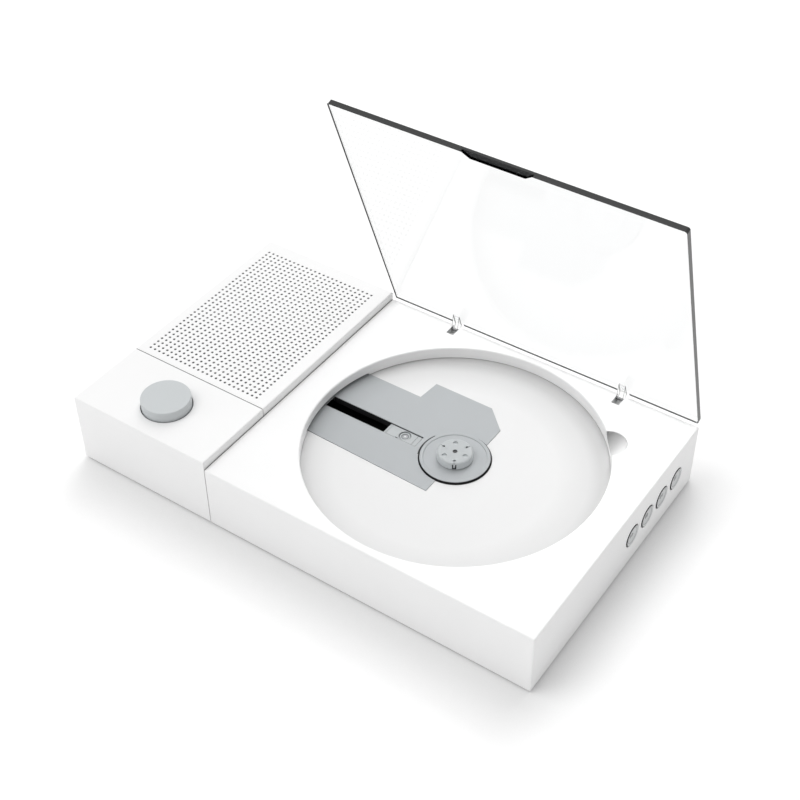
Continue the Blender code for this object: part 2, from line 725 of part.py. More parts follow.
# Turntable, hub, spindle and the three disc claws
TURNTABLE_TOP = DECK_TOP + TURNTABLE_RISE
TURNTABLE_BOTTOM = TURNTABLE_TOP - TURNTABLE_THICKNESS
HUB_TOP = PLAYER_TOP - HUB_BELOW_TOP
HUB_BOTTOM = TURNTABLE_TOP + GAP
spindle_bore = SPINDLE_RADIUS + GAP
turntable = turned(
    "turntable",
    [
        (spindle_bore, TURNTABLE_TOP),
        (TURNTABLE_RADIUS - TURNTABLE_RIM, TURNTABLE_TOP),
        (TURNTABLE_RADIUS - TURNTABLE_RIM, TURNTABLE_TOP + TURNTABLE_RIM_RISE),
        (TURNTABLE_RADIUS, TURNTABLE_TOP + TURNTABLE_RIM_RISE),
        (TURNTABLE_RADIUS, TURNTABLE_BOTTOM),
        (spindle_bore, TURNTABLE_BOTTOM),
    ],
    (WELL_X, WELL_Y), HUB_GREY, closed=True,
)
spindle_hub = turned(
    "spindle_hub",
    [
        (HUB_BORE, HUB_TOP),
        (HUB_RADIUS - HUB_ROUND, HUB_TOP),
        (HUB_RADIUS, HUB_TOP - HUB_ROUND),
        (HUB_RADIUS, HUB_BOTTOM),
        (HUB_BORE + GAP, HUB_BOTTOM),
    ],
    (WELL_X, WELL_Y), HUB_GREY, closed=True,
)
SPINDLE_TOP = HUB_TOP - GAP
spindle_shaft = cylinder(
    "spindle_shaft", SPINDLE_RADIUS, FRAME_TOP + GAP, SPINDLE_TOP, (WELL_X, WELL_Y), STEEL,
    sides=SMALL_SIDES,
)
CLAW_BOTTOM = HUB_BOTTOM + CLAW_LIFT
CLAW_ROOM = CLAW_TRAVEL + GAP
claws = []
for number in range(HUB_HOLE_COUNT):
    turn = math.radians(360) * number / HUB_HOLE_COUNT
    cut(
        spindle_hub,
        cylinder(
            f"hub_hole_{number}", HUB_HOLE_RADIUS, HUB_BOTTOM - OVERRUN, HUB_TOP + OVERRUN,
            at_angle((WELL_X, WELL_Y), HUB_HOLE_RING, HUB_HOLE_ANGLE + turn), sides=SMALL_SIDES,
        ),
    )
    outer = HUB_RADIUS + CLAW_PROUD
    window_inner = outer - CLAW_LENGTH - CLAW_ROOM
    window = box(
        f"claw_window_{number}",
        (window_inner, -CLAW_WIDTH / 2 - GAP, CLAW_BOTTOM - GAP),
        (outer + OVERRUN, CLAW_WIDTH / 2 + GAP, CLAW_BOTTOM + CLAW_HEIGHT + GAP),
    )
    claw = box(
        f"disc_claw_{number + 1}",
        (outer - CLAW_LENGTH, -CLAW_WIDTH / 2, CLAW_BOTTOM),
        (outer, CLAW_WIDTH / 2, CLAW_BOTTOM + CLAW_HEIGHT),
        HUB_GREY,
    )
    for piece in (window, claw):
        reach = piece.location.x
        place = at_angle((WELL_X, WELL_Y), reach, CLAW_ANGLE + turn)
        piece.location = (*place, piece.location.z)
        piece.rotation_euler = (0, 0, CLAW_ANGLE + turn)
    cut(spindle_hub, window)
    claws.append(claw)
carry(
    joint_empty("spindle_axis", (WELL_X, WELL_Y, TURNTABLE_TOP)),
    turntable, spindle_hub, spindle_shaft, *claws,
)
turned(
    "spindle_motor",
    [
        (spindle_bore, TURNTABLE_BOTTOM - SPINDLE_MOTOR_TOP_GAP),
        (SPINDLE_MOTOR_RADIUS, TURNTABLE_BOTTOM - SPINDLE_MOTOR_TOP_GAP),
        (SPINDLE_MOTOR_RADIUS, FRAME_TOP + GAP),
        (spindle_bore, FRAME_TOP + GAP),
    ],
    (WELL_X, WELL_Y), STEEL, closed=True,
)

# Pickup sled: body on the rods, neck up into the slot, rack, lens holder and lens
sled_outer = WELL_X - SLED_INNER - SLED_LENGTH
pickup_sled = box(
    "pickup_sled",
    (sled_outer, WELL_Y - SLED_WIDTH / 2, SLED_BOTTOM),
    (WELL_X - SLED_INNER, WELL_Y + SLED_WIDTH / 2, SLED_TOP),
    HUB_GREY,
)
half_neck = SLOT_WIDTH / 2 - SLED_CLEARANCE
NECK_TOP = DECK_TOP - DECK_THICKNESS - SLED_NECK_DROP
LENS_HOLDER_TOP = NECK_TOP - GAP
LENS_HOLDER_BOTTOM = LENS_HOLDER_TOP - LENS_HOLDER_HEIGHT
join(
    pickup_sled,
    box(
        "sled_neck",
        (WELL_X - SLED_NECK_OUTER, WELL_Y - half_neck, SLED_TOP - GAP),
        (WELL_X - SLED_NECK_INNER, WELL_Y + half_neck, NECK_TOP),
    ),
)
cut(
    pickup_sled,
    cylinder(
        "lens_well", LENS_HOLDER_RADIUS + GAP, LENS_HOLDER_BOTTOM - FOCUS_TRAVEL - GAP,
        NECK_TOP + OVERRUN, (LENS_X, WELL_Y),
    ),
)
rods = [WELL_Y - ROD_SPACING / 2, WELL_Y + ROD_SPACING / 2]
for number, rod_y in enumerate(rods, start=1):
    cut(
        pickup_sled,
        cylinder(
            f"sled_bore_{number}", ROD_RADIUS + ROD_CLEARANCE, sled_outer - OVERRUN,
            WELL_X - SLED_INNER + OVERRUN, (rod_y, ROD_Z), sides=SMALL_SIDES, axis="X",
        ),
    )
    cylinder(
        f"guide_rod_{number}", ROD_RADIUS, WELL_X - ROD_OUTER, WELL_X - ROD_INNER,
        (rod_y, ROD_Z), STEEL, sides=SMALL_SIDES, axis="X",
    )
lens_holder = turned(
    "lens_holder",
    [
        (LENS_RADIUS + GAP / 2, LENS_HOLDER_TOP),
        (LENS_HOLDER_RADIUS, LENS_HOLDER_TOP),
        (LENS_HOLDER_RADIUS, LENS_HOLDER_BOTTOM),
        (LENS_RADIUS + GAP / 2, LENS_HOLDER_BOTTOM),
    ],
    (LENS_X, WELL_Y), HUB_GREY, closed=True,
)
lens = turned(
    "lens",
    [
        (0, LENS_HOLDER_TOP),
        (LENS_RADIUS / 2, LENS_HOLDER_TOP - LENS_THICKNESS / 8),
        (LENS_RADIUS, LENS_HOLDER_TOP - LENS_THICKNESS / 2),
        (LENS_RADIUS / 2, LENS_HOLDER_TOP - LENS_THICKNESS * 7 / 8),
        (0, LENS_HOLDER_TOP - LENS_THICKNESS),
    ],
    (LENS_X, WELL_Y), GLASS, sides=SMALL_SIDES,
)
TOOTH_PITCH = math.pi * GEAR_MODULE


def rack_outline():
    """A bar with trapezoid teeth on its front edge, a space over the gear."""
    back = RACK_PITCH_Y + RACK_WIDTH
    root = RACK_PITCH_Y + GEAR_MODULE * DEDENDUM_SHARE
    tip = RACK_PITCH_Y - GEAR_MODULE * ADDENDUM_SHARE
    start = GEAR_X - TOOTH_PITCH
    count = int(RACK_LENGTH / TOOTH_PITCH)
    points = [(start, back), (start, root)]
    for number in range(count):
        middle = start + TOOTH_PITCH * (number + 1 / 2)
        points += [
            (middle - TOOTH_PITCH * TOOTH_ROOT_SHARE / 2, root),
            (middle - TOOTH_PITCH * TOOTH_TIP_SHARE / 2, tip),
            (middle + TOOTH_PITCH * TOOTH_TIP_SHARE / 2, tip),
            (middle + TOOTH_PITCH * TOOTH_ROOT_SHARE / 2, root),
        ]
    end = start + TOOTH_PITCH * count
    return [*points, (end, root), (end, back)]


sled_rack = flat_outline("sled_rack", rack_outline(), RACK_Z, RACK_Z + RACK_HEIGHT, GEAR_WHITE)
sled_axis = joint_empty("sled_axis", (WELL_X, WELL_Y, ROD_Z))
carry(sled_axis, pickup_sled, sled_rack)
carry(joint_empty("focus_axis", (LENS_X, WELL_Y, LENS_HOLDER_TOP)), lens_holder, lens)


def gear_outline(teeth, centre, first_angle):
    """A ring of trapezoid teeth, one of them centred on the first angle."""
    pitch_radius = GEAR_MODULE * teeth / 2
    tip = pitch_radius + GEAR_MODULE * ADDENDUM_SHARE
    root = pitch_radius - GEAR_MODULE * DEDENDUM_SHARE
    step = math.radians(360) / teeth
    points = []
    for number in range(teeth):
        middle = first_angle + step * number
        points += [
            at_angle(centre, root, middle - step * TOOTH_ROOT_SHARE / 2),
            at_angle(centre, tip, middle - step * TOOTH_TIP_SHARE / 2),
            at_angle(centre, tip, middle + step * TOOTH_TIP_SHARE / 2),
            at_angle(centre, root, middle + step * TOOTH_ROOT_SHARE / 2),
        ]
    return points


LARGE_GEAR_TOP = LARGE_GEAR_Z + GEAR_THICKNESS
drive_gear = flat_outline(
    "drive_gear", gear_outline(LARGE_GEAR_TEETH, (GEAR_X, GEAR_Y), 0), LARGE_GEAR_Z,
    LARGE_GEAR_TOP, GEAR_WHITE,
)
SMALL_GEAR_TOP = max(RACK_Z + RACK_HEIGHT, LARGE_GEAR_TOP + SMALL_GEAR_THICKNESS)
join(
    drive_gear,
    flat_outline(
        "small_gear", gear_outline(SMALL_GEAR_TEETH, (GEAR_X, GEAR_Y), 0),
        LARGE_GEAR_TOP - GAP, SMALL_GEAR_TOP,
    ),
)
cut(
    drive_gear,
    cylinder(
        "gear_bore", GEAR_BORE, LARGE_GEAR_Z - OVERRUN, SMALL_GEAR_TOP + OVERRUN,
        (GEAR_X, GEAR_Y), sides=SMALL_SIDES,
    ),
)
carry(joint_empty("gear_axis", (GEAR_X, GEAR_Y, LARGE_GEAR_Z)), drive_gear)
half_tooth = math.radians(180) / PINION_TEETH
motor_pinion = flat_outline(
    "motor_pinion", gear_outline(PINION_TEETH, (PINION_X, GEAR_Y), half_tooth), LARGE_GEAR_Z,
    LARGE_GEAR_TOP, GEAR_WHITE,
)
join(
    motor_pinion,
    cylinder(
        "pinion_shaft", PINION_SHAFT_RADIUS, LARGE_GEAR_TOP - PINION_SHAFT_LENGTH,
        LARGE_GEAR_TOP - GAP, (PINION_X, GEAR_Y), sides=SMALL_SIDES,
    ),
)
carry(joint_empty("pinion_axis", (PINION_X, GEAR_Y, LARGE_GEAR_Z)), motor_pinion)

# Chassis that carries the rods, the motors and the gear pin, on four soft dampers
deck_frame = box(
    "deck_frame",
    (WELL_X - FRAME_OUTER, WELL_Y - FRAME_FRONT, FRAME_BOTTOM),
    (WELL_X + FRAME_INNER, WELL_Y + FRAME_REAR, FRAME_TOP),
    BLACK,
)
LUG_TOP = ROD_Z + ROD_RADIUS + GAP + FRAME_THICKNESS
for rod_number, rod_y in enumerate(rods, start=1):
    lug_reach = ROD_RADIUS + FRAME_THICKNESS
    lugs = [
        (WELL_X - FRAME_OUTER, WELL_X - FRAME_OUTER + FRAME_LUG),
        (WELL_X - ROD_INNER - FRAME_LUG, WELL_X - ROD_INNER),
    ]
    for side, (lug_low, lug_high) in enumerate(lugs):
        join(
            deck_frame,
            box(
                f"rod_lug_{rod_number}_{side}",
                (lug_low, rod_y - lug_reach, FRAME_BOTTOM + GAP),
                (lug_high, rod_y + lug_reach, LUG_TOP),
            ),
        )
    cut(
        deck_frame,
        cylinder(
            f"frame_bore_{rod_number}", ROD_RADIUS + ROD_CLEARANCE,
            WELL_X - FRAME_OUTER - OVERRUN, WELL_X - ROD_INNER + OVERRUN, (rod_y, ROD_Z),
            sides=SMALL_SIDES, axis="X",
        ),
    )
join(
    deck_frame,
    cylinder(
        "gear_pin", GEAR_PIN_RADIUS, FRAME_BOTTOM + GAP, SMALL_GEAR_TOP, (GEAR_X, GEAR_Y),
        sides=SMALL_SIDES,
    ),
)
cut(
    deck_frame,
    cylinder(
        "pinion_passage", PINION_SHAFT_RADIUS + GAP, FRAME_BOTTOM - OVERRUN,
        FRAME_TOP + OVERRUN, (PINION_X, GEAR_Y), sides=SMALL_SIDES,
    ),
)
SLED_MOTOR_TOP = FRAME_BOTTOM - GAP
turned(
    "sled_motor",
    [
        (PINION_SHAFT_RADIUS + GAP, SLED_MOTOR_TOP),
        (SLED_MOTOR_RADIUS, SLED_MOTOR_TOP),
        (SLED_MOTOR_RADIUS, BASE_TOP + GAP),
        (PINION_SHAFT_RADIUS + GAP, BASE_TOP + GAP),
    ],
    (PINION_X, GEAR_Y), STEEL, closed=True,
)
damper_x = [WELL_X - FRAME_OUTER + DAMPER_INSET, WELL_X + FRAME_INNER - DAMPER_INSET]
damper_y = [WELL_Y - FRAME_FRONT + DAMPER_INSET, WELL_Y + FRAME_REAR - DAMPER_INSET]
damper_places = [(x, y) for x in damper_x for y in damper_y]
for number, place in enumerate(damper_places, start=1):
    cylinder(
        f"damper_{number}", DAMPER_RADIUS, BASE_TOP + GAP, FRAME_BOTTOM - GAP, place, RUBBER,
        sides=SMALL_SIDES,
    )

# Base plate with board posts, screws and feet
base_edge = WALL + GAP
base_plate = box(
    "base_plate",
    (LEFT + base_edge, FRONT + base_edge, UNDERSIDE),
    (RIGHT - base_edge, REAR - base_edge, BASE_TOP),
    WHITE,
)
MODULE_WALL_LOW = CONTROL_RIGHT - WALL - GAP
MODULE_WALL_HIGH = PLAYER_LEFT + WALL + GAP
cut(
    base_plate,
    box(
        "module_wall_slot",
        (MODULE_WALL_LOW, FRONT - OVERRUN, UNDERSIDE + BASE_THICKNESS / 2),
        (MODULE_WALL_HIGH, REAR + OVERRUN, BASE_TOP + OVERRUN),
    ),
)
for housing in (control_housing, speaker_housing, player_housing):
    cut(
        housing,
        box(
            f"{housing.name}_foot_relief",
            (MODULE_WALL_LOW - GAP, FRONT + WALL, UNDERSIDE - OVERRUN),
            (MODULE_WALL_HIGH + GAP, REAR - WALL, UNDERSIDE + BASE_THICKNESS / 2 + GAP),
        ),
    )


def add_posts(board_low, board_high, top, prefix):
    """Four posts from the base plate up to the corners of a board."""
    for across in (board_low[0] + POST_INSET, board_high[0] - POST_INSET):
        for along in (board_low[1] + POST_INSET, board_high[1] - POST_INSET):
            join(
                base_plate,
                cylinder(
                    f"{prefix}_post_{across:.4f}_{along:.4f}", POST_RADIUS, UNDERSIDE + GAP,
                    top - GAP, (across, along), sides=SMALL_SIDES,
                ),
            )


control_board_inset = WALL + CONTROL_BOARD_SIDE_GAP
control_board_low = (LEFT + control_board_inset, KNOB_Y - CONTROL_BOARD_DEPTH / 2)
control_board_high = (CONTROL_RIGHT - control_board_inset, KNOB_Y + CONTROL_BOARD_DEPTH / 2)
control_board_bottom = CONTROL_BOARD_TOP - BOARD_THICKNESS
box(
    "control_board",
    (*control_board_low, control_board_bottom),
    (*control_board_high, CONTROL_BOARD_TOP),
    BOARD,
)
add_posts(control_board_low, control_board_high, control_board_bottom, "control")
main_board_high = (RIGHT - MAIN_BOARD_FROM_RIGHT, REAR - WALL - GAP)
main_board_front = max(damper_y) + DAMPER_RADIUS + MAIN_BOARD_TO_DAMPER
main_board_low = (main_board_high[0] - MAIN_BOARD_WIDTH, main_board_front)
box(
    "main_board",
    (*main_board_low, MAIN_BOARD_BOTTOM),
    (*main_board_high, MAIN_BOARD_TOP),
    BOARD,
)
add_posts(main_board_low, main_board_high, MAIN_BOARD_BOTTOM, "main")
power_socket = box(
    "power_socket",
    (SOCKET_X - SOCKET_WIDTH / 2, REAR - SOCKET_DEPTH, SOCKET_BOTTOM),
    (SOCKET_X + SOCKET_WIDTH / 2, REAR - GAP, SOCKET_BOTTOM + SOCKET_HEIGHT),
    STEEL,
)
cut(
    power_socket,
    box(
        "socket_mouth",
        (
            SOCKET_X - SOCKET_MOUTH_WIDTH / 2,
            REAR - SOCKET_MOUTH_DEPTH,
            SOCKET_Z - SOCKET_MOUTH_HEIGHT / 2,
        ),
        (SOCKET_X + SOCKET_MOUTH_WIDTH / 2, REAR + OVERRUN, SOCKET_Z + SOCKET_MOUTH_HEIGHT / 2),
    ),
)
screw_places = [
    (x, y)
    for x in (LEFT + SCREW_FROM_SIDE, RIGHT - SCREW_FROM_SIDE)
    for y in (FRONT + SCREW_FROM_END, REAR - SCREW_FROM_END)
]
head_top = UNDERSIDE + SCREW_HEAD_HEIGHT
for number, place in enumerate(screw_places, start=1):
    cut(
        base_plate,
        turned(
            f"screw_hole_{number}",
            [
                (0, BASE_TOP + OVERRUN),
                (SCREW_RADIUS + GAP, BASE_TOP + OVERRUN),
                (SCREW_RADIUS + GAP, head_top + GAP),
                (SCREW_HEAD_RADIUS + GAP, head_top + GAP),
                (SCREW_HEAD_RADIUS + GAP, UNDERSIDE - OVERRUN),
                (0, UNDERSIDE - OVERRUN),
            ],
            place, sides=SMALL_SIDES,
        ),
    )
    turned(
        f"base_screw_{number}",
        [
            (0, UNDERSIDE + SCREW_LENGTH),
            (SCREW_RADIUS, UNDERSIDE + SCREW_LENGTH),
            (SCREW_RADIUS, head_top),
            (SCREW_HEAD_RADIUS, head_top),
            (SCREW_HEAD_RADIUS, UNDERSIDE),
            (0, UNDERSIDE),
        ],
        place, STEEL, sides=SMALL_SIDES,
    )
foot_places = [
    (x, y)
    for x in (LEFT + FOOT_INSET, RIGHT - FOOT_INSET)
    for y in (FRONT + FOOT_INSET, REAR - FOOT_INSET)
]
for number, place in enumerate(foot_places, start=1):
    cylinder(f"foot_{number}", FOOT_RADIUS, 0, UNDERSIDE - GAP, place, RUBBER)

# Volume knob, its shaft and the potentiometer
knob_bottom = CONTROL_TOP - KNOB_SINK
knob_socket_top = knob_bottom + KNOB_SOCKET_DEPTH
volume_knob = turned(
    "volume_knob",
    [
        (0, CONTROL_TOP + KNOB_RISE),
        (KNOB_RADIUS - KNOB_ROUND, CONTROL_TOP + KNOB_RISE),
        (KNOB_RADIUS, CONTROL_TOP + KNOB_RISE - KNOB_ROUND),
        (KNOB_RADIUS, knob_bottom),
        (KNOB_SHAFT_RADIUS + GAP, knob_bottom),
        (KNOB_SHAFT_RADIUS + GAP, knob_socket_top),
        (0, knob_socket_top),
    ],
    (KNOB_X, KNOB_Y), KNOB_GREY, sides=FINE_SIDES // 2,
)
knob_shaft = cylinder(
    "knob_shaft", KNOB_SHAFT_RADIUS, POT_TOP + GAP, knob_socket_top - GAP, (KNOB_X, KNOB_Y),
    STEEL, sides=SMALL_SIDES,
)
carry(joint_empty("knob_axis", (KNOB_X, KNOB_Y, CONTROL_TOP)), volume_knob, knob_shaft)
cylinder("potentiometer", POT_RADIUS, POT_TOP - POT_HEIGHT, POT_TOP, (KNOB_X, KNOB_Y), STEEL)

# Loudspeaker: frame, magnet, surround, cone and dust cap
flange_bottom = SPEAKER_TOP - SPEAKER_FLANGE
basket_bottom = SPEAKER_TOP - SPEAKER_DEPTH
basket_rim = SPEAKER_RADIUS - SPEAKER_RIM
grille_centre = (GRILLE_X, GRILLE_Y)
turned(
    "speaker_frame",
    [
        (basket_rim - SPEAKER_WALL, SPEAKER_TOP),
        (SPEAKER_RADIUS, SPEAKER_TOP),
        (SPEAKER_RADIUS, flange_bottom),
        (basket_rim, flange_bottom),
        (SPEAKER_NECK + SPEAKER_WALL, basket_bottom),
        (DUST_CAP_RADIUS, basket_bottom),
        (DUST_CAP_RADIUS, basket_bottom + SPEAKER_WALL),
        (SPEAKER_NECK, basket_bottom + SPEAKER_WALL),
        (basket_rim - SPEAKER_WALL, flange_bottom),
    ],
    grille_centre, BLACK, closed=True,
)
cylinder(
    "speaker_magnet", MAGNET_RADIUS, basket_bottom - GAP - MAGNET_HEIGHT, basket_bottom - GAP,
    grille_centre, STEEL,
)
surround_bottom = flange_bottom + GAP
surround_rim = basket_rim - SPEAKER_WALL - GAP
turned(
    "speaker_surround",
    [
        (CONE_OUTER, surround_bottom + GAP),
        ((CONE_OUTER + surround_rim) / 2, surround_bottom + SURROUND_HEIGHT),
        (surround_rim, surround_bottom + GAP),
        (surround_rim, surround_bottom),
        ((CONE_OUTER + surround_rim) / 2, surround_bottom + SURROUND_HEIGHT - CONE_THICKNESS),
        (CONE_OUTER, surround_bottom),
    ],
    grille_centre, RUBBER, closed=True,
)
cone_edge = CONE_OUTER - GAP
turned(
    "speaker_cone",
    [
        (cone_edge, surround_bottom + GAP),
        (cone_edge, surround_bottom + GAP - CONE_THICKNESS),
        (CONE_INNER, surround_bottom - CONE_DEPTH),
        (CONE_INNER - CONE_THICKNESS, surround_bottom - CONE_DEPTH + CONE_THICKNESS),
        (cone_edge - CONE_THICKNESS, surround_bottom + GAP),
    ],
    grille_centre, PAPER, closed=True,
)
cap_bottom = surround_bottom - CONE_DEPTH + CONE_THICKNESS * 2
turned(
    "dust_cap",
    [
        (0, cap_bottom + DUST_CAP_HEIGHT),
        (DUST_CAP_RADIUS / 2, cap_bottom + DUST_CAP_HEIGHT * 3 / 4),
        (DUST_CAP_RADIUS - CONE_THICKNESS, cap_bottom + CONE_THICKNESS),
        (DUST_CAP_RADIUS - CONE_THICKNESS, cap_bottom),
        (0, cap_bottom),
    ],
    grille_centre, PAPER,
)

# Side buttons, their switches and the board behind them
cap_radius = BUTTON_RADIUS - BUTTON_CLEARANCE
stem_base = BUTTON_FACE - BUTTON_THICKNESS
for number, place in enumerate(BUTTON_PLACES, start=1):
    button = turned(
        f"button_{number}",
        [
            (0, BUTTON_FACE - BUTTON_DISH),
            (cap_radius / 2, BUTTON_FACE - BUTTON_DISH * 3 / 4),
            (cap_radius, BUTTON_FACE),
            (cap_radius, stem_base),
            (BUTTON_STEM_RADIUS, stem_base),
            (BUTTON_STEM_RADIUS, BUTTON_STEM_END),
            (0, BUTTON_STEM_END),
        ],
        (0, 0), KNOB_GREY,
    )
    button.rotation_euler = (0, math.radians(90), 0)
    button.location = (0, place, BUTTON_Z)
    carry(joint_empty(f"button_axis_{number}", (BUTTON_FACE, place, BUTTON_Z)), button)
    box(
        f"switch_{number}",
        (SWITCH_FACE - SWITCH_THICKNESS, place - SWITCH_SIDE / 2, BUTTON_Z - SWITCH_SIDE / 2),
        (SWITCH_FACE, place + SWITCH_SIDE / 2, BUTTON_Z + SWITCH_SIDE / 2),
        BLACK,
    )
box(
    "button_board",
    (
        BUTTON_BOARD_FACE - BOARD_THICKNESS,
        BUTTON_PLACES[0] - BUTTON_BOARD_MARGIN,
        BASE_TOP + GAP,
    ),
    (
        BUTTON_BOARD_FACE,
        BUTTON_PLACES[-1] + BUTTON_BOARD_MARGIN,
        BASE_TOP + GAP + BUTTON_BOARD_HEIGHT,
    ),
    BOARD,
)

# Clear lid with its finger scoop and two hinge arms, modelled closed and then opened
lid_left = CONTROL_RIGHT + LID_LEFT_CLEARANCE
lid_right = RIGHT - LID_RIGHT_INSET
lid_middle = (lid_left + lid_right) / 2
lid_rear = REAR - LID_REAR_INSET
lid_front = FRONT + LID_FRONT_INSET
lid_panel = box(
    "lid_panel", (lid_left, lid_front, LID_UNDERSIDE), (lid_right, lid_rear, CONTROL_TOP), CLEAR
)
cut(
    lid_panel,
    flat_outline(
        "lid_scoop",
        [
            (lid_middle - LID_SCOOP_WIDTH / 2, lid_front - OVERRUN),
            (lid_middle + LID_SCOOP_WIDTH / 2, lid_front - OVERRUN),
            (lid_middle + LID_SCOOP_WIDTH / 2, lid_front),
            (lid_middle + LID_SCOOP_INNER_WIDTH / 2, lid_front + LID_SCOOP_LENGTH),
            (lid_middle - LID_SCOOP_INNER_WIDTH / 2, lid_front + LID_SCOOP_LENGTH),
            (lid_middle - LID_SCOOP_WIDTH / 2, lid_front),
        ],
        LID_UNDERSIDE - OVERRUN, LID_UNDERSIDE + LID_SCOOP_DEPTH,
    ),
)
arm_top = LID_UNDERSIDE - GAP / 2
arm_profile = [
    (lid_rear - HINGE_ARM_LENGTH, arm_top),
    *ring_points(
        HINGE_KNUCKLE_RADIUS, (HINGE_Y, HINGE_Z), math.radians(240), math.radians(390), 9
    ),
    (lid_rear, arm_top),
]
arms = []
for number, spot in enumerate(HINGE_SPOTS, start=1):
    arm = flat_outline(
        f"hinge_arm_{number}", arm_profile, -HINGE_ARM_WIDTH / 2, HINGE_ARM_WIDTH / 2, CLEAR
    )
    arm.rotation_euler = (math.radians(90), 0, math.radians(90))
    arm.location = (spot, 0, 0)
    cut(
        arm,
        cylinder(
            f"arm_bore_{number}", HINGE_PIN_RADIUS + HINGE_PIN_CLEARANCE,
            spot - HINGE_ARM_WIDTH / 2 - OVERRUN, spot + HINGE_ARM_WIDTH / 2 + OVERRUN,
            (HINGE_Y, HINGE_Z), sides=SMALL_SIDES, axis="X",
        ),
    )
    arms.append(arm)
lid_axis = joint_empty("lid_axis", (lid_middle, HINGE_Y, HINGE_Z))
carry(lid_axis, lid_panel, *arms)
for tool in CUTTERS.objects:
    if tool.name.startswith(("lid_scoop", "arm_bore")):
        carry(lid_axis, tool)
lid_axis.rotation_euler = (-LID_OPEN_ANGLE, 0, 0)
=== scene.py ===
"""Dresses the CD player: moulded white covers, perforated grille, clear lid, disc well and deck."""
import json
import math

import bmesh
import bpy
from mathutils import Matrix, Vector


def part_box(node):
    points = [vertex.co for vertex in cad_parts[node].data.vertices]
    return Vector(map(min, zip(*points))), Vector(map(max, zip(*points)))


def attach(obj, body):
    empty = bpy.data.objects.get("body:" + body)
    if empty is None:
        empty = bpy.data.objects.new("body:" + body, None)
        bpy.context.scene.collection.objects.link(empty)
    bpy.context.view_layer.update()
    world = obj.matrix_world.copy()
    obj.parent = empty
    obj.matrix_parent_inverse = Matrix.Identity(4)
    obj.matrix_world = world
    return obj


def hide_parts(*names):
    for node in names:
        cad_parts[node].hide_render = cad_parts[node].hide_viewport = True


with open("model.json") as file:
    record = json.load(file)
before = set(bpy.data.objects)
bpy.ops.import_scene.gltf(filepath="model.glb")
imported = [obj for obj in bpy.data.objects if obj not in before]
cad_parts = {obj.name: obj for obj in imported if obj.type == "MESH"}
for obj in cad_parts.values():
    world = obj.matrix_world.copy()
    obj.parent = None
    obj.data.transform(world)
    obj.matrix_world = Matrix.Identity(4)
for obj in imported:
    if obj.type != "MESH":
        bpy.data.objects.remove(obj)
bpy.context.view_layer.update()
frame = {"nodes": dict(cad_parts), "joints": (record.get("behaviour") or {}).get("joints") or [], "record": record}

# Places that come from the frame
PLAYER_LOW, PLAYER_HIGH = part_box("player_housing")
CONTROL_LOW, CONTROL_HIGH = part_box("control_housing")
SPEAKER_LOW, SPEAKER_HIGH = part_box("speaker_housing")
FLOOR_LOW, FLOOR_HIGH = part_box("well_floor")
DECK_LOW, DECK_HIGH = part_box("deck_cover")
TABLE_LOW, TABLE_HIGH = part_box("turntable")
HUB_LOW, HUB_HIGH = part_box("spindle_hub")
KNOB_LOW, KNOB_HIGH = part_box("volume_knob")
SLED_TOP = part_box("pickup_sled")[1].z
HOLDER_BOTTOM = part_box("lens_holder")[0].z
LENS_LOW, LENS_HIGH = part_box("lens")
SOCKET_LOW, SOCKET_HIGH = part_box("power_socket")
JOINTS = {joint["name"]: joint for joint in frame["joints"]}
HINGE_PLACE = JOINTS["lid_hinge"]["pos_m"]
WELL_X = (TABLE_LOW.x + TABLE_HIGH.x) / 2
WELL_Y = (TABLE_LOW.y + TABLE_HIGH.y) / 2
WELL = Vector((WELL_X, WELL_Y))
PLAYER_TOP = PLAYER_HIGH.z
CONTROL_TOP = CONTROL_HIGH.z
UNDERSIDE = PLAYER_LOW.z
FLOOR_TOP = FLOOR_HIGH.z
DECK_TOP = DECK_HIGH.z
FRONT = PLAYER_LOW.y
REAR = PLAYER_HIGH.y
FLOOR_RADIUS = max(FLOOR_HIGH.x - FLOOR_LOW.x, FLOOR_HIGH.y - FLOOR_LOW.y) / 2
KNOB_MIDDLE = (KNOB_LOW + KNOB_HIGH) / 2
KNOB_RADIUS = (KNOB_HIGH.x - KNOB_LOW.x) / 2
LENS_MIDDLE = (LENS_LOW + LENS_HIGH) / 2
HINGE_ARMS = (1, 2)

# Sizes of the visible surfaces, as the CAD has them or finer
WALL = 0.0020
EDGE_ROUND = 0.0006
WELL_RADIUS = 0.0620
WELL_EDGE_ROUND = 0.0007
WELL_SKIRT = 0.0018
NOTCH_RADIUS = 0.0070
NOTCH_DEPTH = 0.0042
NOTCH_WALL = 0.0012
NOTCH_ANGLE = math.radians(37)
NOTCH_PLACE = WELL + WELL_RADIUS * Vector((math.cos(NOTCH_ANGLE), math.sin(NOTCH_ANGLE)))
BOWL_STEP = 6
SKIRT_RELIEF = 0.0010
GAP = 0.0003
OVERRUN = 0.0020
HOLE_CHAMFER = 0.0001
SKIRT_GAP = 0.0003
DECK_STEP = 0.0110
WELL_SIDES = 192
NOTCH_EDGE_ROUND = 0.0003
HINGE_SLOT_LENGTH = 0.0066
HINGE_SLOT_DEPTH = 0.0030
SLOT_START = REAR - HINGE_SLOT_LENGTH
SLOT_BOTTOM = PLAYER_TOP - HINGE_SLOT_DEPTH
SLOT_ROUND = 0.0001
SLOT_SHADE_DROP = 0.0002
SLOT_BACK = (0.00008, 0.00003)
SLOT_BACK_BELOW_HINGE = 0.0007
BUTTON_COUNT = 4
BUTTON_RADIUS = 0.0050
BUTTON_CHAMFER = 0.0001
BUTTON_CAP_RADIUS = 0.0045
BUTTON_SAG = Vector((0.0004, 0.00028, -0.00018))
BUTTON_RING = (0.0035, 0.0037)
BUTTON_CAP_ROUND = 0.0001
BUTTON_DISH = 0.0007
BUTTON_THICKNESS = 0.0030
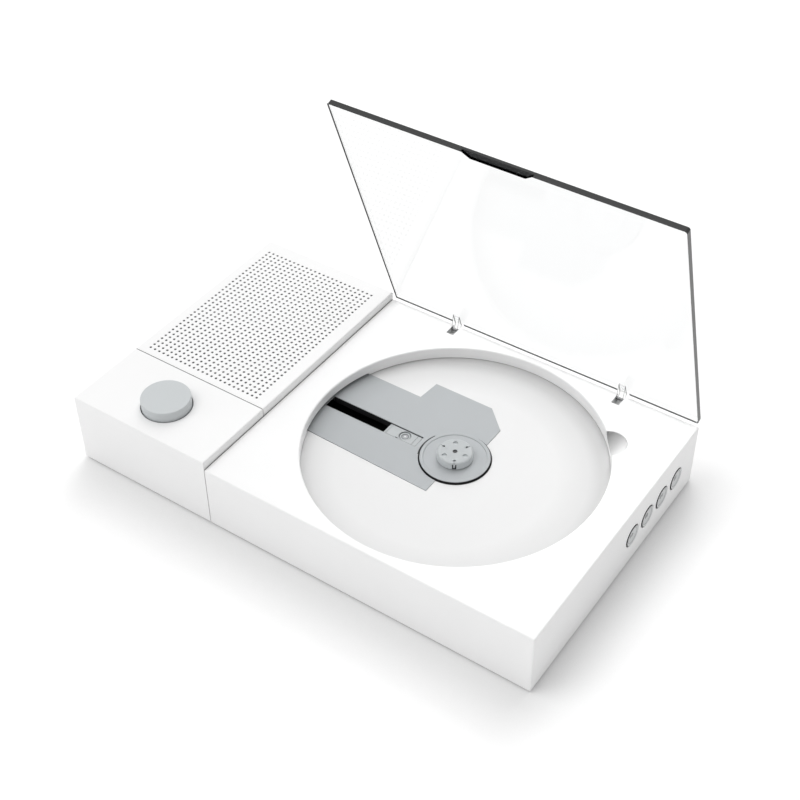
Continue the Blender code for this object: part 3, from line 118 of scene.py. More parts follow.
BUTTON_MARK_RISE = 0.00015
MM_PER_M = 1000
# Outlines of the marks on the four caps, in millimetres
BUTTON_MARKS = (
    (((-1.5, -1.0), (-0.2, 0.0), (-1.5, 1.0)), ((0.1, -1.0), (1.4, 0.0), (0.1, 1.0))),
    (
        ((-1.0, -1.0), (-0.3, -1.0), (-0.3, 1.0), (-1.0, 1.0)),
        ((0.3, -1.0), (1.0, -1.0), (1.0, 1.0), (0.3, 1.0)),
    ),
    (((1.5, -1.0), (0.2, 0.0), (1.5, 1.0)), ((-0.1, -1.0), (-1.4, 0.0), (-0.1, 1.0))),
    (((-0.9, -0.9), (0.9, -0.9), (0.9, 0.9), (-0.9, 0.9)),),
)
INLET_ROUND_SHARE = 0.95
INLET_STEPS = 8
KNOB_CLEARANCE = 0.0004
KNOB_OPENING = KNOB_RADIUS + KNOB_CLEARANCE
KNOB_BORE = KNOB_RADIUS / 3
KNOB_SIDES = 160
KNOB_CHAMFER = 0.0002
KNOB_ROUND = 0.0004
GRILLE_FROM_LEFT = 0.00502
GRILLE_FROM_FRONT = 0.04199
GRILLE_PITCH = 0.002403
GRILLE_COLUMNS = 25
GRILLE_ROWS = 35
GRILLE_HOLE_RADIUS = 0.00058
GRILLE_HOLE_SIDES = 16
GRILLE_HOLE_TURN = 45
GRILLE_SKIN = 0.0004
DECK_FRONT = 0.0197
DECK_REAR = 0.0228
DECK_FOOT = 0.0003
DECK_FOOT_FRONT = 0.0215
DECK_TIP = 0.0066
DECK_TIP_REAR = 0.0240
DECK_CORNER = -0.0032
DECK_SHOULDER = -0.0318
DECK_SHOULDER_TOP = -0.0307
DECK_SHOULDER_REAR = 0.0334
DECK_SEAM = 0.00012
TABLE_RADIUS = 0.0143
TABLE_GAP = 0.0005
TABLE_RIM = 0.0013
TABLE_RIM_RISE = 0.0003
TABLE_ROUND = 0.0002
TABLE_SIDES = 128
SLOT_OUTER = 0.0620
SLOT_INNER = 0.0170
SLOT_FRONT = 0.00340
SLOT_REAR = 0.00315
LINER = 0.0001
LINER_DROP = 0.00015
TABLE_LINER_DROP = LINER_DROP / 3
GROOVE_RADIUS = 0.0153
GROOVE_FROM = 155
GROOVE_TO = 205
CURTAIN_DEPTH = 0.0028
CARRIAGE_OUTER = 0.0326
CARRIAGE_INNER = 0.0175
CARRIAGE_HALF = 0.00285
# Thickness of a black sheet of painted shade under the pickup plate
CARRIAGE_GROOVE_SHADE = 0.00003
CARRIAGE_PLATE = 0.00015
CARRIAGE_LINES = ((-0.0321, 0.0001), (-0.0318, 0.0001), (-0.0195, 0.00015))
CARRIAGE_MARK = (-0.0267, 0.0012, 0.0004)
LENS_WELL = 0.0026
LENS_RING = 0.0023
LENS_RING_RISE = 0.00015
LENS_RING_ROUND = 0.0002
LENS_RADIUS = 0.0014
LENS_DOME = 0.0003
SPINDLE_RADIUS = 0.00105
HUB_RADIUS = 0.0073
HUB_ROUND = 0.0008
HUB_BORE = 0.0009
HUB_BORE_SIDES = 48
HUB_HOLE_SIDES = 32
HUB_HOLE_ANGLE = 0
HUB_HOLE_RING = 0.0048
HUB_HOLE_RADIUS = 0.00095
HUB_HOLE_DEPTH = 0.0006
# Radius of a black disc of painted shade at the bottom of the hub's bore
BORE_END_SHADE = 0.0007
HUB_PIN_RING = 0.00535
HUB_PIN_RADIUS = 0.00052
HUB_SLIT_WIDTH = 0.00026
HUB_SLIT_DEPTH = 0.0006
CLAW_COUNT = 3
CLAW_ANGLE = math.radians(-60)
CLAW_WINDOW_INNER = 0.0038
CLAW_WINDOW_WIDTH = 0.0017
CLAW_WIDTH = 0.0008
CLAW_GAP = 0.0002
CLAW_TOP = 0.0003
CLAW_BACK = 0.0009
CLAW_PROUD = 0.0004
CLAW_ROUND = 0.0003
LID_OPEN_ANGLE = math.radians(70)
LID_THICKNESS = 0.0022
LID_LENGTH = 0.1285
LID_REAR_INSET = 0.0023
LID_CORNER = 0.0010
LID_CORNER_STEPS = 6
LID_CHAMFER = 0.00015
SCOOP_WIDTH = 0.0300
SCOOP_INNER = 0.0230
SCOOP_LENGTH = 0.0027
SCOOP_DEPTH = 0.0012
# Dark strips of painted shade on the clear lid: its rim, the lines along its left and rear edges, and the breaks
# at the arms
LID_RIM = 0.00015
LID_LINE = 0.00080
LID_REAR_LINE = 0.00115
LID_LINE_PROUD = 0.00002
LID_RIM_BREAK = 0.0028
# A black sheet of painted shade just under the grille holes
HOLE_SHADE_GAP = 0.00005
HOLE_SHADE_THICKNESS = 0.0010
HINGE_ARM_LENGTH = 0.0064
HINGE_KNUCKLE_RADIUS = 0.0013
HINGE_KNUCKLE_FROM = 240
HINGE_KNUCKLE_TO = 390
HINGE_KNUCKLE_STEPS = 12
# Dark outlines of painted shade on the clear arms
ARM_EDGE = 0.0001
ARM_EDGE_SHARES = (1.01, 0.88)
MERGE = 0.000001
SHARP_ANGLE = math.radians(32)
SMALL_SIDES = 64
DISH_STEPS = 8
EDGE_STEPS = 6
LONG_ARC_STEPS = 24
SIDEWAYS = Matrix.Rotation(math.radians(90), 4, "Y")

# Grain of the moulded surfaces
GRAIN_SIZE = 0.0004
GRAIN_DETAIL = 2
GRAIN_BUMP = 0.00001
GRAIN_STRENGTH = 0.3
TONE_SCALE = 40
TONE_DETAIL = 3
TONE_SHARES = ((0.35, 0.988), (0.65, 1.0))
GLOSS_CHANGE = 0.04
# Painted shade and light, as colour: the well floor and the deck darken towards the well wall, the notch bowl
# towards the well, the hub's side is lighter than its top, and the lens is light at its centre
WELL_RIM_SHADE_SHIFT = (-0.0012, -0.0056)
WELL_RIM_SHADE_TONES = ((0.0, 1.0), (0.72, 0.99), (0.92, 0.88), (1.0, 0.76))
DECK_RIM_SHADE_TONES = ((0.0, 1.0), (0.78, 1.0), (0.89, 0.93), (0.96, 0.80), (1.0, 0.68))
BOWL_SHADE_TONES = ((0.0, 0.26), (0.45, 0.50), (0.85, 0.86))
HUB_SIDE_LIGHT_TONES = ((0.0, 1.40), (0.72, 1.35), (0.97, 1.0))
LENS_GLINT_TONES = (
    (0.0, (0.62, 0.63, 0.64)), (0.32, (0.60, 0.61, 0.62)), (0.45, (0.24, 0.25, 0.26)),
    (0.62, (0.48, 0.49, 0.50)), (0.95, (0.20, 0.21, 0.22)),
)

# Light and camera
FLOOR_SIZE = 12.0
LAMP_SIZE = 3.4
LAMP_DISTANCE = 5.0
LAMPS = (
    ("front_left_low", 225, 30, 20.0), ("front_left_high", 225, 60, 65.0),
    ("rear_low", 108, 30, 46.0), ("rear_high", 108, 60, 47.0),
)
AMBIENT = 0.57
FIRST_BOUNCE = 0.5
FLOOR_WHITE = 0.97
FLOOR_GLOW = 0.07
FLOOR_ROUGHNESS = 0.9
# Painted shadow on the floor near the object
FLOOR_SHADE = 0.34
FLOOR_SHADE_SAMPLES = 8
FLOOR_SHADE_REACH = 0.03
FLOOR_SHADE_LEAN = (-0.55, 0.50, 0.65)
CAMERA_PLACE = (0.254117, -0.356040, 0.434021)
CAMERA_FORWARD = Vector((-0.42232, 0.60886, -0.67152))
CAMERA_UP = Vector((-0.3749, 0.5572, 0.7410))
LENS_MM = 65.49
SENSOR_MM = 36.0


def link(name, mesh):
    """A new object in the scene that holds the mesh."""
    piece = bpy.data.objects.new(name, mesh)
    bpy.context.scene.collection.objects.link(piece)
    return piece


def mesh_of(bm, name):
    """A mesh from a bmesh, which is freed."""
    mesh = bpy.data.meshes.new(name)
    bm.to_mesh(mesh)
    bm.free()
    return mesh


SIDES = {
    "-X": Vector((-1, 0, 0)), "+X": Vector((1, 0, 0)), "-Y": Vector((0, -1, 0)),
    "+Y": Vector((0, 1, 0)), "-Z": Vector((0, 0, -1)), "+Z": Vector((0, 0, 1)),
}


def side_of(face):
    """The name of the side that a face looks towards most."""
    return max(SIDES, key=lambda side: SIDES[side].dot(face.normal))


def block(name, low, high, rounded=(), radius=0.0, segments=4):
    """A box from corner to corner. Edges between the named pairs of sides are rounded."""
    low, high = Vector(low), Vector(high)
    bm = bmesh.new()
    bmesh.ops.create_cube(bm, size=1)
    bmesh.ops.scale(bm, vec=high - low, verts=bm.verts)
    bmesh.ops.translate(bm, vec=(low + high) / 2, verts=bm.verts)
    bm.normal_update()
    edges = [
        edge for edge in bm.edges
        if any({side_of(face) for face in edge.link_faces} == set(pair) for pair in rounded)
    ]
    if edges:
        bmesh.ops.bevel(
            bm, geom=edges, offset=radius, segments=segments, profile=0.5, affect="EDGES"
        )
    return link(name, mesh_of(bm, name))


def turned(name, profile, centre, sides=96, closed=False):
    """A profile of (radius, height) points turned round a vertical line through the centre."""
    bm = bmesh.new()
    verts = [bm.verts.new((radius, 0, height)) for radius, height in profile]
    edges = [bm.edges.new(pair) for pair in zip(verts, verts[1:])]
    if closed:
        edges.append(bm.edges.new((verts[-1], verts[0])))
    bmesh.ops.spin(
        bm, geom=verts + edges, cent=(0, 0, 0), axis=(0, 0, 1), angle=math.radians(360),
        steps=sides, use_merge=False,
    )
    bmesh.ops.remove_doubles(bm, verts=bm.verts, dist=MERGE)
    bmesh.ops.recalc_face_normals(bm, faces=bm.faces)
    bmesh.ops.translate(bm, vec=(centre[0], centre[1], 0), verts=bm.verts)
    return link(name, mesh_of(bm, name))


def flat_outline(name, points, low, high):
    """A flat outline in X and Y with a thickness from low to high."""
    bm = bmesh.new()
    face = bm.faces.new([bm.verts.new((x, y, low)) for x, y in points])
    top = bmesh.ops.extrude_face_region(bm, geom=[face])["geom"]
    moved = [item for item in top if isinstance(item, bmesh.types.BMVert)]
    bmesh.ops.translate(bm, vec=(0, 0, high - low), verts=moved)
    bmesh.ops.recalc_face_normals(bm, faces=bm.faces)
    return link(name, mesh_of(bm, name))


def move(piece, matrix):
    """Moves a piece's mesh, so that the piece itself stays at the origin."""
    piece.data.transform(matrix)
    return piece


def shape(piece, cuts=(), joins=(), keeps=()):
    """Joins tools onto a piece, cuts others out, keeps what lies inside the last, removes the tools."""
    for operation, tools in (("UNION", joins), ("DIFFERENCE", cuts), ("INTERSECT", keeps)):
        for tool in tools:
            modifier = piece.modifiers.new(operation, "BOOLEAN")
            modifier.operation = operation
            modifier.solver = "EXACT"
            modifier.object = tool
    depsgraph = bpy.context.evaluated_depsgraph_get()
    mesh = bpy.data.meshes.new_from_object(piece.evaluated_get(depsgraph))
    piece.modifiers.clear()
    piece.data = mesh
    for tool in (*cuts, *joins, *keeps):
        bpy.data.objects.remove(tool)
    return piece


def dress(piece, body, look, replaces=()):
    """Gives a piece its material, shading and body, and hides the parts it replaces."""
    piece.data.materials.clear()
    piece.data.materials.append(look)
    piece.data.shade_smooth()
    piece.data.set_sharp_from_angle(angle=SHARP_ANGLE)
    normals = piece.modifiers.new("normals", "WEIGHTED_NORMAL")
    normals.keep_sharp = True
    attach(piece, body)
    if replaces:
        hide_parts(*replaces)
    return piece


def arc(centre, radius, start, end, steps):
    """Points along an arc, angles in degrees."""
    angles = [math.radians(start + (end - start) * step / steps) for step in range(steps + 1)]
    return [(centre[0] + radius * math.cos(a), centre[1] + radius * math.sin(a)) for a in angles]


def outer_corner(radius, top, bend, steps=4):
    """The rounded upper corner of a turned profile."""
    return arc((radius - bend, top - bend), bend, 90, 0, steps)


def tube(inner, outer, low, high):
    """The profile of a tube, or of a rod when the inner radius is nothing."""
    return [(inner, high), (outer, high), (outer, low), (inner, low)]


def round_hole_cutter(name, radius, chamfer, low, high, centre, sides=96):
    """A round bar that flares at its top by a small chamfer, to cut a hole with a broken edge."""
    profile = [
        (0, high + OVERRUN), (radius + chamfer, high + OVERRUN), (radius + chamfer, high),
        (radius, high - chamfer), (radius, low), (0, low),
    ]
    return turned(name, profile, centre, sides)


def plastic(name, color, roughness, metallic=0.0, shine=0.5):
    """Moulded plastic or metal with a fine grain, a slow change of tone and uneven gloss."""
    look = bpy.data.materials.new(name)
    look.use_nodes = True
    tree = look.node_tree
    shader = tree.nodes["Principled BSDF"]
    shader.inputs["Metallic"].default_value = metallic
    shader.inputs["Specular IOR Level"].default_value = shine
    place = tree.nodes.new("ShaderNodeTexCoord")
    slow = tree.nodes.new("ShaderNodeTexNoise")
    slow.inputs["Scale"].default_value = TONE_SCALE
    slow.inputs["Detail"].default_value = TONE_DETAIL
    tree.links.new(place.outputs["Object"], slow.inputs["Vector"])
    color_along(tree, slow.outputs["Fac"], toned(color, TONE_SHARES))
    fine = tree.nodes.new("ShaderNodeTexNoise")
    fine.inputs["Scale"].default_value = 1 / GRAIN_SIZE
    fine.inputs["Detail"].default_value = GRAIN_DETAIL
    tree.links.new(place.outputs["Object"], fine.inputs["Vector"])
    gloss = tree.nodes.new("ShaderNodeMapRange")
    gloss.inputs["To Min"].default_value = roughness - GLOSS_CHANGE
    gloss.inputs["To Max"].default_value = roughness + GLOSS_CHANGE
    tree.links.new(fine.outputs["Fac"], gloss.inputs["Value"])
    tree.links.new(gloss.outputs["Result"], shader.inputs["Roughness"])
    dents = tree.nodes.new("ShaderNodeBump")
    dents.inputs["Strength"].default_value = GRAIN_STRENGTH
    dents.inputs["Distance"].default_value = GRAIN_BUMP
    tree.links.new(fine.outputs["Fac"], dents.inputs["Height"])
    tree.links.new(dents.outputs["Normal"], shader.inputs["Normal"])
    return look


def clear(name, color, roughness, ior):
    """Clear acrylic or glass that lets lamplight through."""
    look = bpy.data.materials.new(name)
    look.use_nodes = True
    tree = look.node_tree
    shader = tree.nodes["Principled BSDF"]
    shader.inputs["Base Color"].default_value = (*color, 1)
    shader.inputs["Roughness"].default_value = roughness
    shader.inputs["IOR"].default_value = ior
    shader.inputs["Transmission Weight"].default_value = 1.0
    through = tree.nodes.new("ShaderNodeBsdfTransparent")
    path = tree.nodes.new("ShaderNodeLightPath")
    mix = tree.nodes.new("ShaderNodeMixShader")
    tree.links.new(path.outputs["Is Shadow Ray"], mix.inputs[0])
    tree.links.new(shader.outputs["BSDF"], mix.inputs[1])
    tree.links.new(through.outputs["BSDF"], mix.inputs[2])
    tree.links.new(mix.outputs["Shader"], tree.nodes["Material Output"].inputs["Surface"])
    return look


def round_tone(name, middle, reach, stops, roughness):
    """Plastic whose colour changes with the distance from an upright line."""
    look = plastic(name, stops[0][1], roughness)
    tree = look.node_tree
    place = tree.nodes.new("ShaderNodeTexCoord")
    centred = tree.nodes.new("ShaderNodeVectorMath")
    centred.operation = "SUBTRACT"
    centred.inputs[1].default_value = (middle[0], middle[1], 0)
    flat = tree.nodes.new("ShaderNodeVectorMath")
    flat.operation = "MULTIPLY"
    flat.inputs[1].default_value = (1 / reach, 1 / reach, 0)
    length = tree.nodes.new("ShaderNodeVectorMath")
    length.operation = "LENGTH"
    tree.links.new(place.outputs["Object"], centred.inputs[0])
    tree.links.new(centred.outputs[0], flat.inputs[0])
    tree.links.new(flat.outputs[0], length.inputs[0])
    color_along(tree, length.outputs["Value"], stops)
    return look


def color_along(tree, value, stops):
    """Colours a plastic by a ramp with the given stops."""
    ramp = tree.nodes.new("ShaderNodeValToRGB")
    while len(ramp.color_ramp.elements) < len(stops):
        ramp.color_ramp.elements.new(1.0)
    for element, (position, color) in zip(ramp.color_ramp.elements, stops):
        element.position = position
        element.color = (*color, 1)
    tree.links.new(value, ramp.inputs["Fac"])
    tree.links.new(ramp.outputs["Color"], tree.nodes["Principled BSDF"].inputs["Base Color"])


def toned(color, shares):
    """Stops of one colour at several shares of its tone."""
    return [(position, tuple(c * share for c in color)) for position, share in shares]


def side_tone(name, axis, stops, roughness):
    """Plastic whose colour changes along the piece, from its low end to its high end."""
    look = plastic(name, stops[0][1], roughness)
    tree = look.node_tree
    place = tree.nodes.new("ShaderNodeTexCoord")
    parts = tree.nodes.new("ShaderNodeSeparateXYZ")
    tree.links.new(place.outputs["Generated"], parts.inputs[0])
    color_along(tree, parts.outputs[axis], stops)
    return look


WHITE = plastic("white_shell", (0.905, 0.905, 0.905), 0.50)
KNOB_GREY = plastic("knob_grey", (0.555, 0.580, 0.590), 0.45)
BUTTON_GREY = plastic("button_grey", (0.640, 0.650, 0.655), 0.45)
MARK_GREY = plastic("mark_grey", (0.330, 0.336, 0.342), 0.45)
SHADE_GREY = plastic("slot_shade", (0.640, 0.645, 0.645), 0.60)
DECK_COLOR = (0.397, 0.415, 0.427)
# Painted shade: the grey of the deck plate and of the other deck-grey parts darkens towards the well wall
DECK_GREY_RIM_SHADED = round_tone("deck_grey", WELL, WELL_RADIUS, toned(DECK_COLOR, DECK_RIM_SHADE_TONES), 0.60)
HUB_COLOR = (0.424, 0.445, 0.453)
HUB_GREY = plastic("hub_grey", HUB_COLOR, 0.55)
BLACK = plastic("black_plastic", (0.012, 0.012, 0.013), 0.45)
RUBBER = plastic("rubber", (0.03, 0.03, 0.03), 0.75)
STEEL = plastic("steel", (0.55, 0.55, 0.56), 0.28, metallic=1.0)
# Steel for the hinge pins, made dark so that they read as part of the painted shade in the hinge slots
PIN_STEEL = plastic("pin_steel", (0.24, 0.24, 0.245), 0.40, metallic=1.0)
BOARD = plastic("board", (0.015, 0.10, 0.035), 0.45)
PAPER = plastic("cone_paper", (0.02, 0.02, 0.02), 0.85)
GEAR = plastic("gear_white", (0.75, 0.75, 0.70), 0.45)
WELL_COLOR = (0.740, 0.740, 0.740)
# Painted shade: the well floor darkens towards the well wall, most at the rear
WELL_WHITE_RIM_SHADED = round_tone(
    "well_white_rim_shaded", WELL + Vector(WELL_RIM_SHADE_SHIFT), WELL_RADIUS, toned(WELL_COLOR, WELL_RIM_SHADE_TONES), 0.60
)
# Painted shade: the clear lid's rim and lines are dark strips, the right rim and the arms' outlines a little
# lighter
LID_EDGE_PAINTED_SHADE = plastic("lid_edge_painted_shade", (0.020, 0.021, 0.021), 0.45, shine=0.35)
LID_SIDE_PAINTED_SHADE = plastic("lid_side_painted_shade", (0.055, 0.057, 0.057), 0.35)
# Painted shade: a thin dark sheet on the finger scoop of the clear lid
SCOOP_PAINTED_SHADE = plastic("scoop_painted_shade", (0.028, 0.029, 0.030), 0.60, shine=0.10)
ACRYLIC = clear("clear_acrylic", (0.946, 0.950, 0.950), 0.0, 1.20)
ARM_CLEAR = clear("arm_acrylic", (0.96, 0.965, 0.965), 0.0, 1.02)
# Painted highlight: the lens is light at its centre, with dark and grey rings out to its edge
LENS_PAINTED_GLINT = round_tone("lens_glass", LENS_MIDDLE, LENS_RADIUS, LENS_GLINT_TONES, 0.12)
# Painted shade: white that darkens along the notch bowl towards the well
BOWL_WHITE_SHADED = side_tone("bowl_painted_shade", "X", toned((1, 1, 1), BOWL_SHADE_TONES), 0.55)
# Painted light: the hub's side is lighter than its top, as if lit from the side
HUB_SHELL_SIDE_LIT = side_tone("hub_painted_side_light", "Z", toned(HUB_COLOR, HUB_SIDE_LIGHT_TONES), 0.55)

LOOKS = {
    "white_shell": WHITE, "knob_grey": KNOB_GREY, "deck_grey": DECK_GREY_RIM_SHADED, "hub_grey": HUB_GREY,
    "black_plastic": BLACK, "rubber": RUBBER, "steel": STEEL, "board": BOARD, "cone_paper": PAPER,
    "gear_white": GEAR, "clear_acrylic": ACRYLIC, "lens_glass": LENS_PAINTED_GLINT,
}
for entry in frame["record"]["subparts"]:
    node = frame["nodes"][entry["node"]]
    node.data.materials.clear()
    look = PIN_STEEL if "hinge_pin" in entry["node"] else LOOKS[entry["material_slot"]]
    node.data.materials.append(look)


def hollow(name, low, high, sides):
    """The space inside a cover, open below and at its seam sides."""
    inner_low = Vector((low.x + WALL, low.y + WALL, low.z - OVERRUN))
    inner_high = Vector((high.x - WALL, high.y - WALL, high.z - WALL))
    if "+Y" in sides:
        inner_high.y = high.y + OVERRUN
    if "-Y" in sides:
        inner_low.y = low.y - OVERRUN
    return block(name, inner_low, inner_high)


def make_player_cover():
    """The player module's cover, with the well wall, finger notch, hinge slots and side openings."""
    cover = block(
        "player_cover", PLAYER_LOW, PLAYER_HIGH,
        [("+X", "-Y"), ("+X", "+Y"), ("-Y", "+Z"), ("+Y", "+Z"), ("+X", "+Z")], EDGE_ROUND,
    )
    skirt_bottom = FLOOR_TOP + SKIRT_GAP
    inside_top = PLAYER_TOP - WALL / 2
    outer = WELL_RADIUS + WELL_SKIRT
    skirt = turned("skirt", tube(0, outer, skirt_bottom, inside_top), WELL, WELL_SIDES)
    notch_wall = turned(
        "notch_wall", tube(0, NOTCH_RADIUS + NOTCH_WALL, skirt_bottom, inside_top), NOTCH_PLACE
    )
    rim = (WELL_RADIUS + WELL_EDGE_ROUND, PLAYER_TOP - WELL_EDGE_ROUND)
    well = turned(
        "well",
        [
            (0, PLAYER_TOP + OVERRUN), (rim[0], PLAYER_TOP + OVERRUN),
            *arc(rim, WELL_EDGE_ROUND, 90, 180, EDGE_STEPS),
            (WELL_RADIUS, skirt_bottom - OVERRUN), (0, skirt_bottom - OVERRUN),
        ],
        WELL, WELL_SIDES,
    )
    lip = (NOTCH_RADIUS + NOTCH_EDGE_ROUND, PLAYER_TOP + OVERRUN)
    notch = turned(
        "notch", [(0, lip[1]), lip, (lip[0], PLAYER_TOP), *bowl_points(0)], NOTCH_PLACE
    )
    relief = block(
        "relief",
        (WELL_X - outer - OVERRUN, DECK_LOW.y, skirt_bottom - OVERRUN),
        (WELL_X - WELL_RADIUS / 2, DECK_HIGH.y - DECK_STEP, skirt_bottom + SKIRT_RELIEF),
    )
    cuts = [hollow("inside", PLAYER_LOW, PLAYER_HIGH, ()), well, notch, relief]
    tubs = []
    for number in HINGE_ARMS:
        low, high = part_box(f"hinge_arm_{number}")
        cuts.append(block(
            f"slot_{number}", (low.x - GAP, SLOT_START, SLOT_BOTTOM),
            (high.x + GAP, REAR + OVERRUN, PLAYER_TOP + OVERRUN),
            [("-X", "-Y"), ("+X", "-Y")], SLOT_ROUND, 1,
        ))
        tubs.append(block(
            f"tub_{number}", (low.x - WALL, SLOT_START - WALL / 2, SLOT_BOTTOM - WALL / 2),
            (high.x + WALL, REAR - WALL / 2, PLAYER_TOP - WALL / 2),
        ))
    for number in range(1, BUTTON_COUNT + 1):
        low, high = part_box(f"button_{number}")
        centre = (low + high) / 2
        hole = round_hole_cutter(
            f"hole_{number}", BUTTON_RADIUS, BUTTON_CHAMFER, -WALL - OVERRUN, 0, (0, 0)
        )
        cuts.append(move(hole, Matrix.Translation((PLAYER_HIGH.x, centre.y, centre.z)) @ SIDEWAYS))
    cuts.append(inlet_cutter())
    shape(cover, cuts[:1])
    shape(cover, cuts[1:], [skirt, notch_wall, *tubs])
    return dress(cover, "base", WHITE, ["player_housing"])


def inlet_cutter():
    """The opening for the power inlet, with round ends."""
    middle = (SOCKET_LOW + SOCKET_HIGH) / 2
    half_width = (SOCKET_HIGH.x - SOCKET_LOW.x) / 2 + GAP
    half_height = (SOCKET_HIGH.z - SOCKET_LOW.z) / 2 + GAP
    return block(
        "inlet",
        (middle.x - half_width, REAR - WALL - OVERRUN, middle.z - half_height),
        (middle.x + half_width, REAR + OVERRUN, middle.z + half_height),
        [("-X", "+Z"), ("-X", "-Z"), ("+X", "+Z"), ("+X", "-Z")],
        half_height * INLET_ROUND_SHARE, INLET_STEPS,
    )


def make_control_cover():
    """The front cover of the side module, with the round knob opening."""
    cover = block(
        "control_cover", CONTROL_LOW, CONTROL_HIGH,
        [("-X", "-Y"), ("-X", "+Z"), ("-Y", "+Z"), ("+X", "+Z")], EDGE_ROUND,
    )
    opening = round_hole_cutter(
        "knob_opening", KNOB_OPENING, KNOB_CHAMFER, CONTROL_TOP - WALL - OVERRUN, CONTROL_TOP,
        KNOB_MIDDLE,
    )
    shape(cover, [hollow("inside", CONTROL_LOW, CONTROL_HIGH, ("+Y",)), opening])
    return dress(cover, "base", WHITE, ["control_housing"])


def grille_window():
    """The corners of the perforated field, half a pitch outside the outer holes."""
    first = Vector((SPEAKER_LOW.x + GRILLE_FROM_LEFT, FRONT + GRILLE_FROM_FRONT))
    low = first - Vector((GRILLE_PITCH, GRILLE_PITCH)) / 2
    return low, low + Vector((GRILLE_COLUMNS, GRILLE_ROWS)) * GRILLE_PITCH


def make_grille_cover():
    """The rear cover of the side module, with its fine grid of round holes."""
    cover = block(
        "grille_cover", SPEAKER_LOW, SPEAKER_HIGH,
        [("-X", "+Y"), ("-X", "+Z"), ("+Y", "+Z"), ("+X", "+Z")], EDGE_ROUND,
    )
    low, high = grille_window()
    window = block(
        "window", (*low, CONTROL_TOP - WALL - OVERRUN), (*high, CONTROL_TOP + OVERRUN)
    )
    shape(cover, [hollow("inside", SPEAKER_LOW, SPEAKER_HIGH, ("-Y",)), window])
    bm = bmesh.new()
    bm.from_mesh(cover.data)
    for column in range(GRILLE_COLUMNS):
        for row in range(GRILLE_ROWS):
            add_grille_cell(bm, low + Vector((column, row)) * GRILLE_PITCH)
    bmesh.ops.remove_doubles(bm, verts=bm.verts, dist=MERGE)
    bm.to_mesh(cover.data)
    bm.free()
    return dress(cover, "base", WHITE, ["speaker_housing"])


def add_grille_cell(bm, low):
    """One square of the grille with a round hole through it."""
    centre = low + Vector((GRILLE_PITCH, GRILLE_PITCH)) / 2
    corner_signs = [(1, 1), (-1, 1), (-1, -1), (1, -1)]
    step = 360 / GRILLE_HOLE_SIDES
    rings = {}
    for level in (CONTROL_TOP, CONTROL_TOP - GRILLE_SKIN):
        corners = [
            bm.verts.new((centre.x + sx * GRILLE_PITCH / 2, centre.y + sy * GRILLE_PITCH / 2, level))
            for sx, sy in corner_signs
        ]
        circle = [
            bm.verts.new((
                centre.x + GRILLE_HOLE_RADIUS * math.cos(math.radians(GRILLE_HOLE_TURN + step * n)),
                centre.y + GRILLE_HOLE_RADIUS * math.sin(math.radians(GRILLE_HOLE_TURN + step * n)),
                level,
            ))
            for n in range(GRILLE_HOLE_SIDES)
        ]
        rings[level] = circle
        per_side = GRILLE_HOLE_SIDES // 4
        for side in range(4):
            stretch = [circle[(side * per_side + n) % GRILLE_HOLE_SIDES] for n in range(per_side + 1)]
            loop = [corners[side], corners[(side + 1) % 4], *reversed(stretch)]
            if level != CONTROL_TOP:
                loop.reverse()
            bm.faces.new(loop)
    upper, lower = rings[CONTROL_TOP], rings[CONTROL_TOP - GRILLE_SKIN]
    for n in range(GRILLE_HOLE_SIDES):
        after = (n + 1) % GRILLE_HOLE_SIDES
        bm.faces.new((upper[n], lower[n], lower[after], upper[after]))


def deck_points(margin, outer_radius):
    """The grey deck plate's outline round the spindle, grown by a margin."""
    front = DECK_FRONT + margin
    rear = DECK_REAR + margin
    start = 180 - math.degrees(math.asin(rear / outer_radius))
    end = 180 + math.degrees(math.asin(front / outer_radius))
    places = [
        (DECK_FOOT + margin, -DECK_FOOT_FRONT - margin),
        (DECK_FOOT + margin, -TABLE_RADIUS / 2),
        (DECK_TIP + margin, -TABLE_RADIUS / 2),
        (DECK_TIP + margin, DECK_TIP_REAR),
        (DECK_CORNER, DECK_SHOULDER_REAR + margin),
        (DECK_SHOULDER_TOP - margin, DECK_SHOULDER_REAR + margin),
        (DECK_SHOULDER - margin, rear),
        *arc((0, 0), outer_radius, start, end, LONG_ARC_STEPS),
    ]
    return [(WELL_X + x, WELL_Y + y) for x, y in places]


def make_floor():
    """The white floor of the well, cut away round the deck plate and the turntable, with painted shade towards its
    wall.
    """
    floor = turned(
        "floor_disc", tube(0, FLOOR_RADIUS, FLOOR_LOW.z, FLOOR_TOP), WELL, WELL_SIDES
    )
    recess = flat_outline(
        "recess", deck_points(DECK_SEAM, FLOOR_RADIUS + OVERRUN), FLOOR_LOW.z - OVERRUN,
        FLOOR_TOP + OVERRUN,
    )
    hole = round_hole_cutter(
        "table_hole", TABLE_RADIUS + TABLE_GAP, HOLE_CHAMFER, FLOOR_LOW.z - OVERRUN, FLOOR_TOP,
        WELL,
    )
    shape(floor, [recess, hole])
    dress(floor, "base", WELL_WHITE_RIM_SHADED, ["well_floor"])


def groove_points(inner):
    """The outline of the short curved groove, from an inner radius outwards."""
    places = [
        *arc((0, 0), GROOVE_RADIUS, GROOVE_FROM, GROOVE_TO, LONG_ARC_STEPS),
        *arc((0, 0), inner, GROOVE_TO, GROOVE_FROM, LONG_ARC_STEPS),
    ]
    return [(WELL_X + x, WELL_Y + y) for x, y in places]


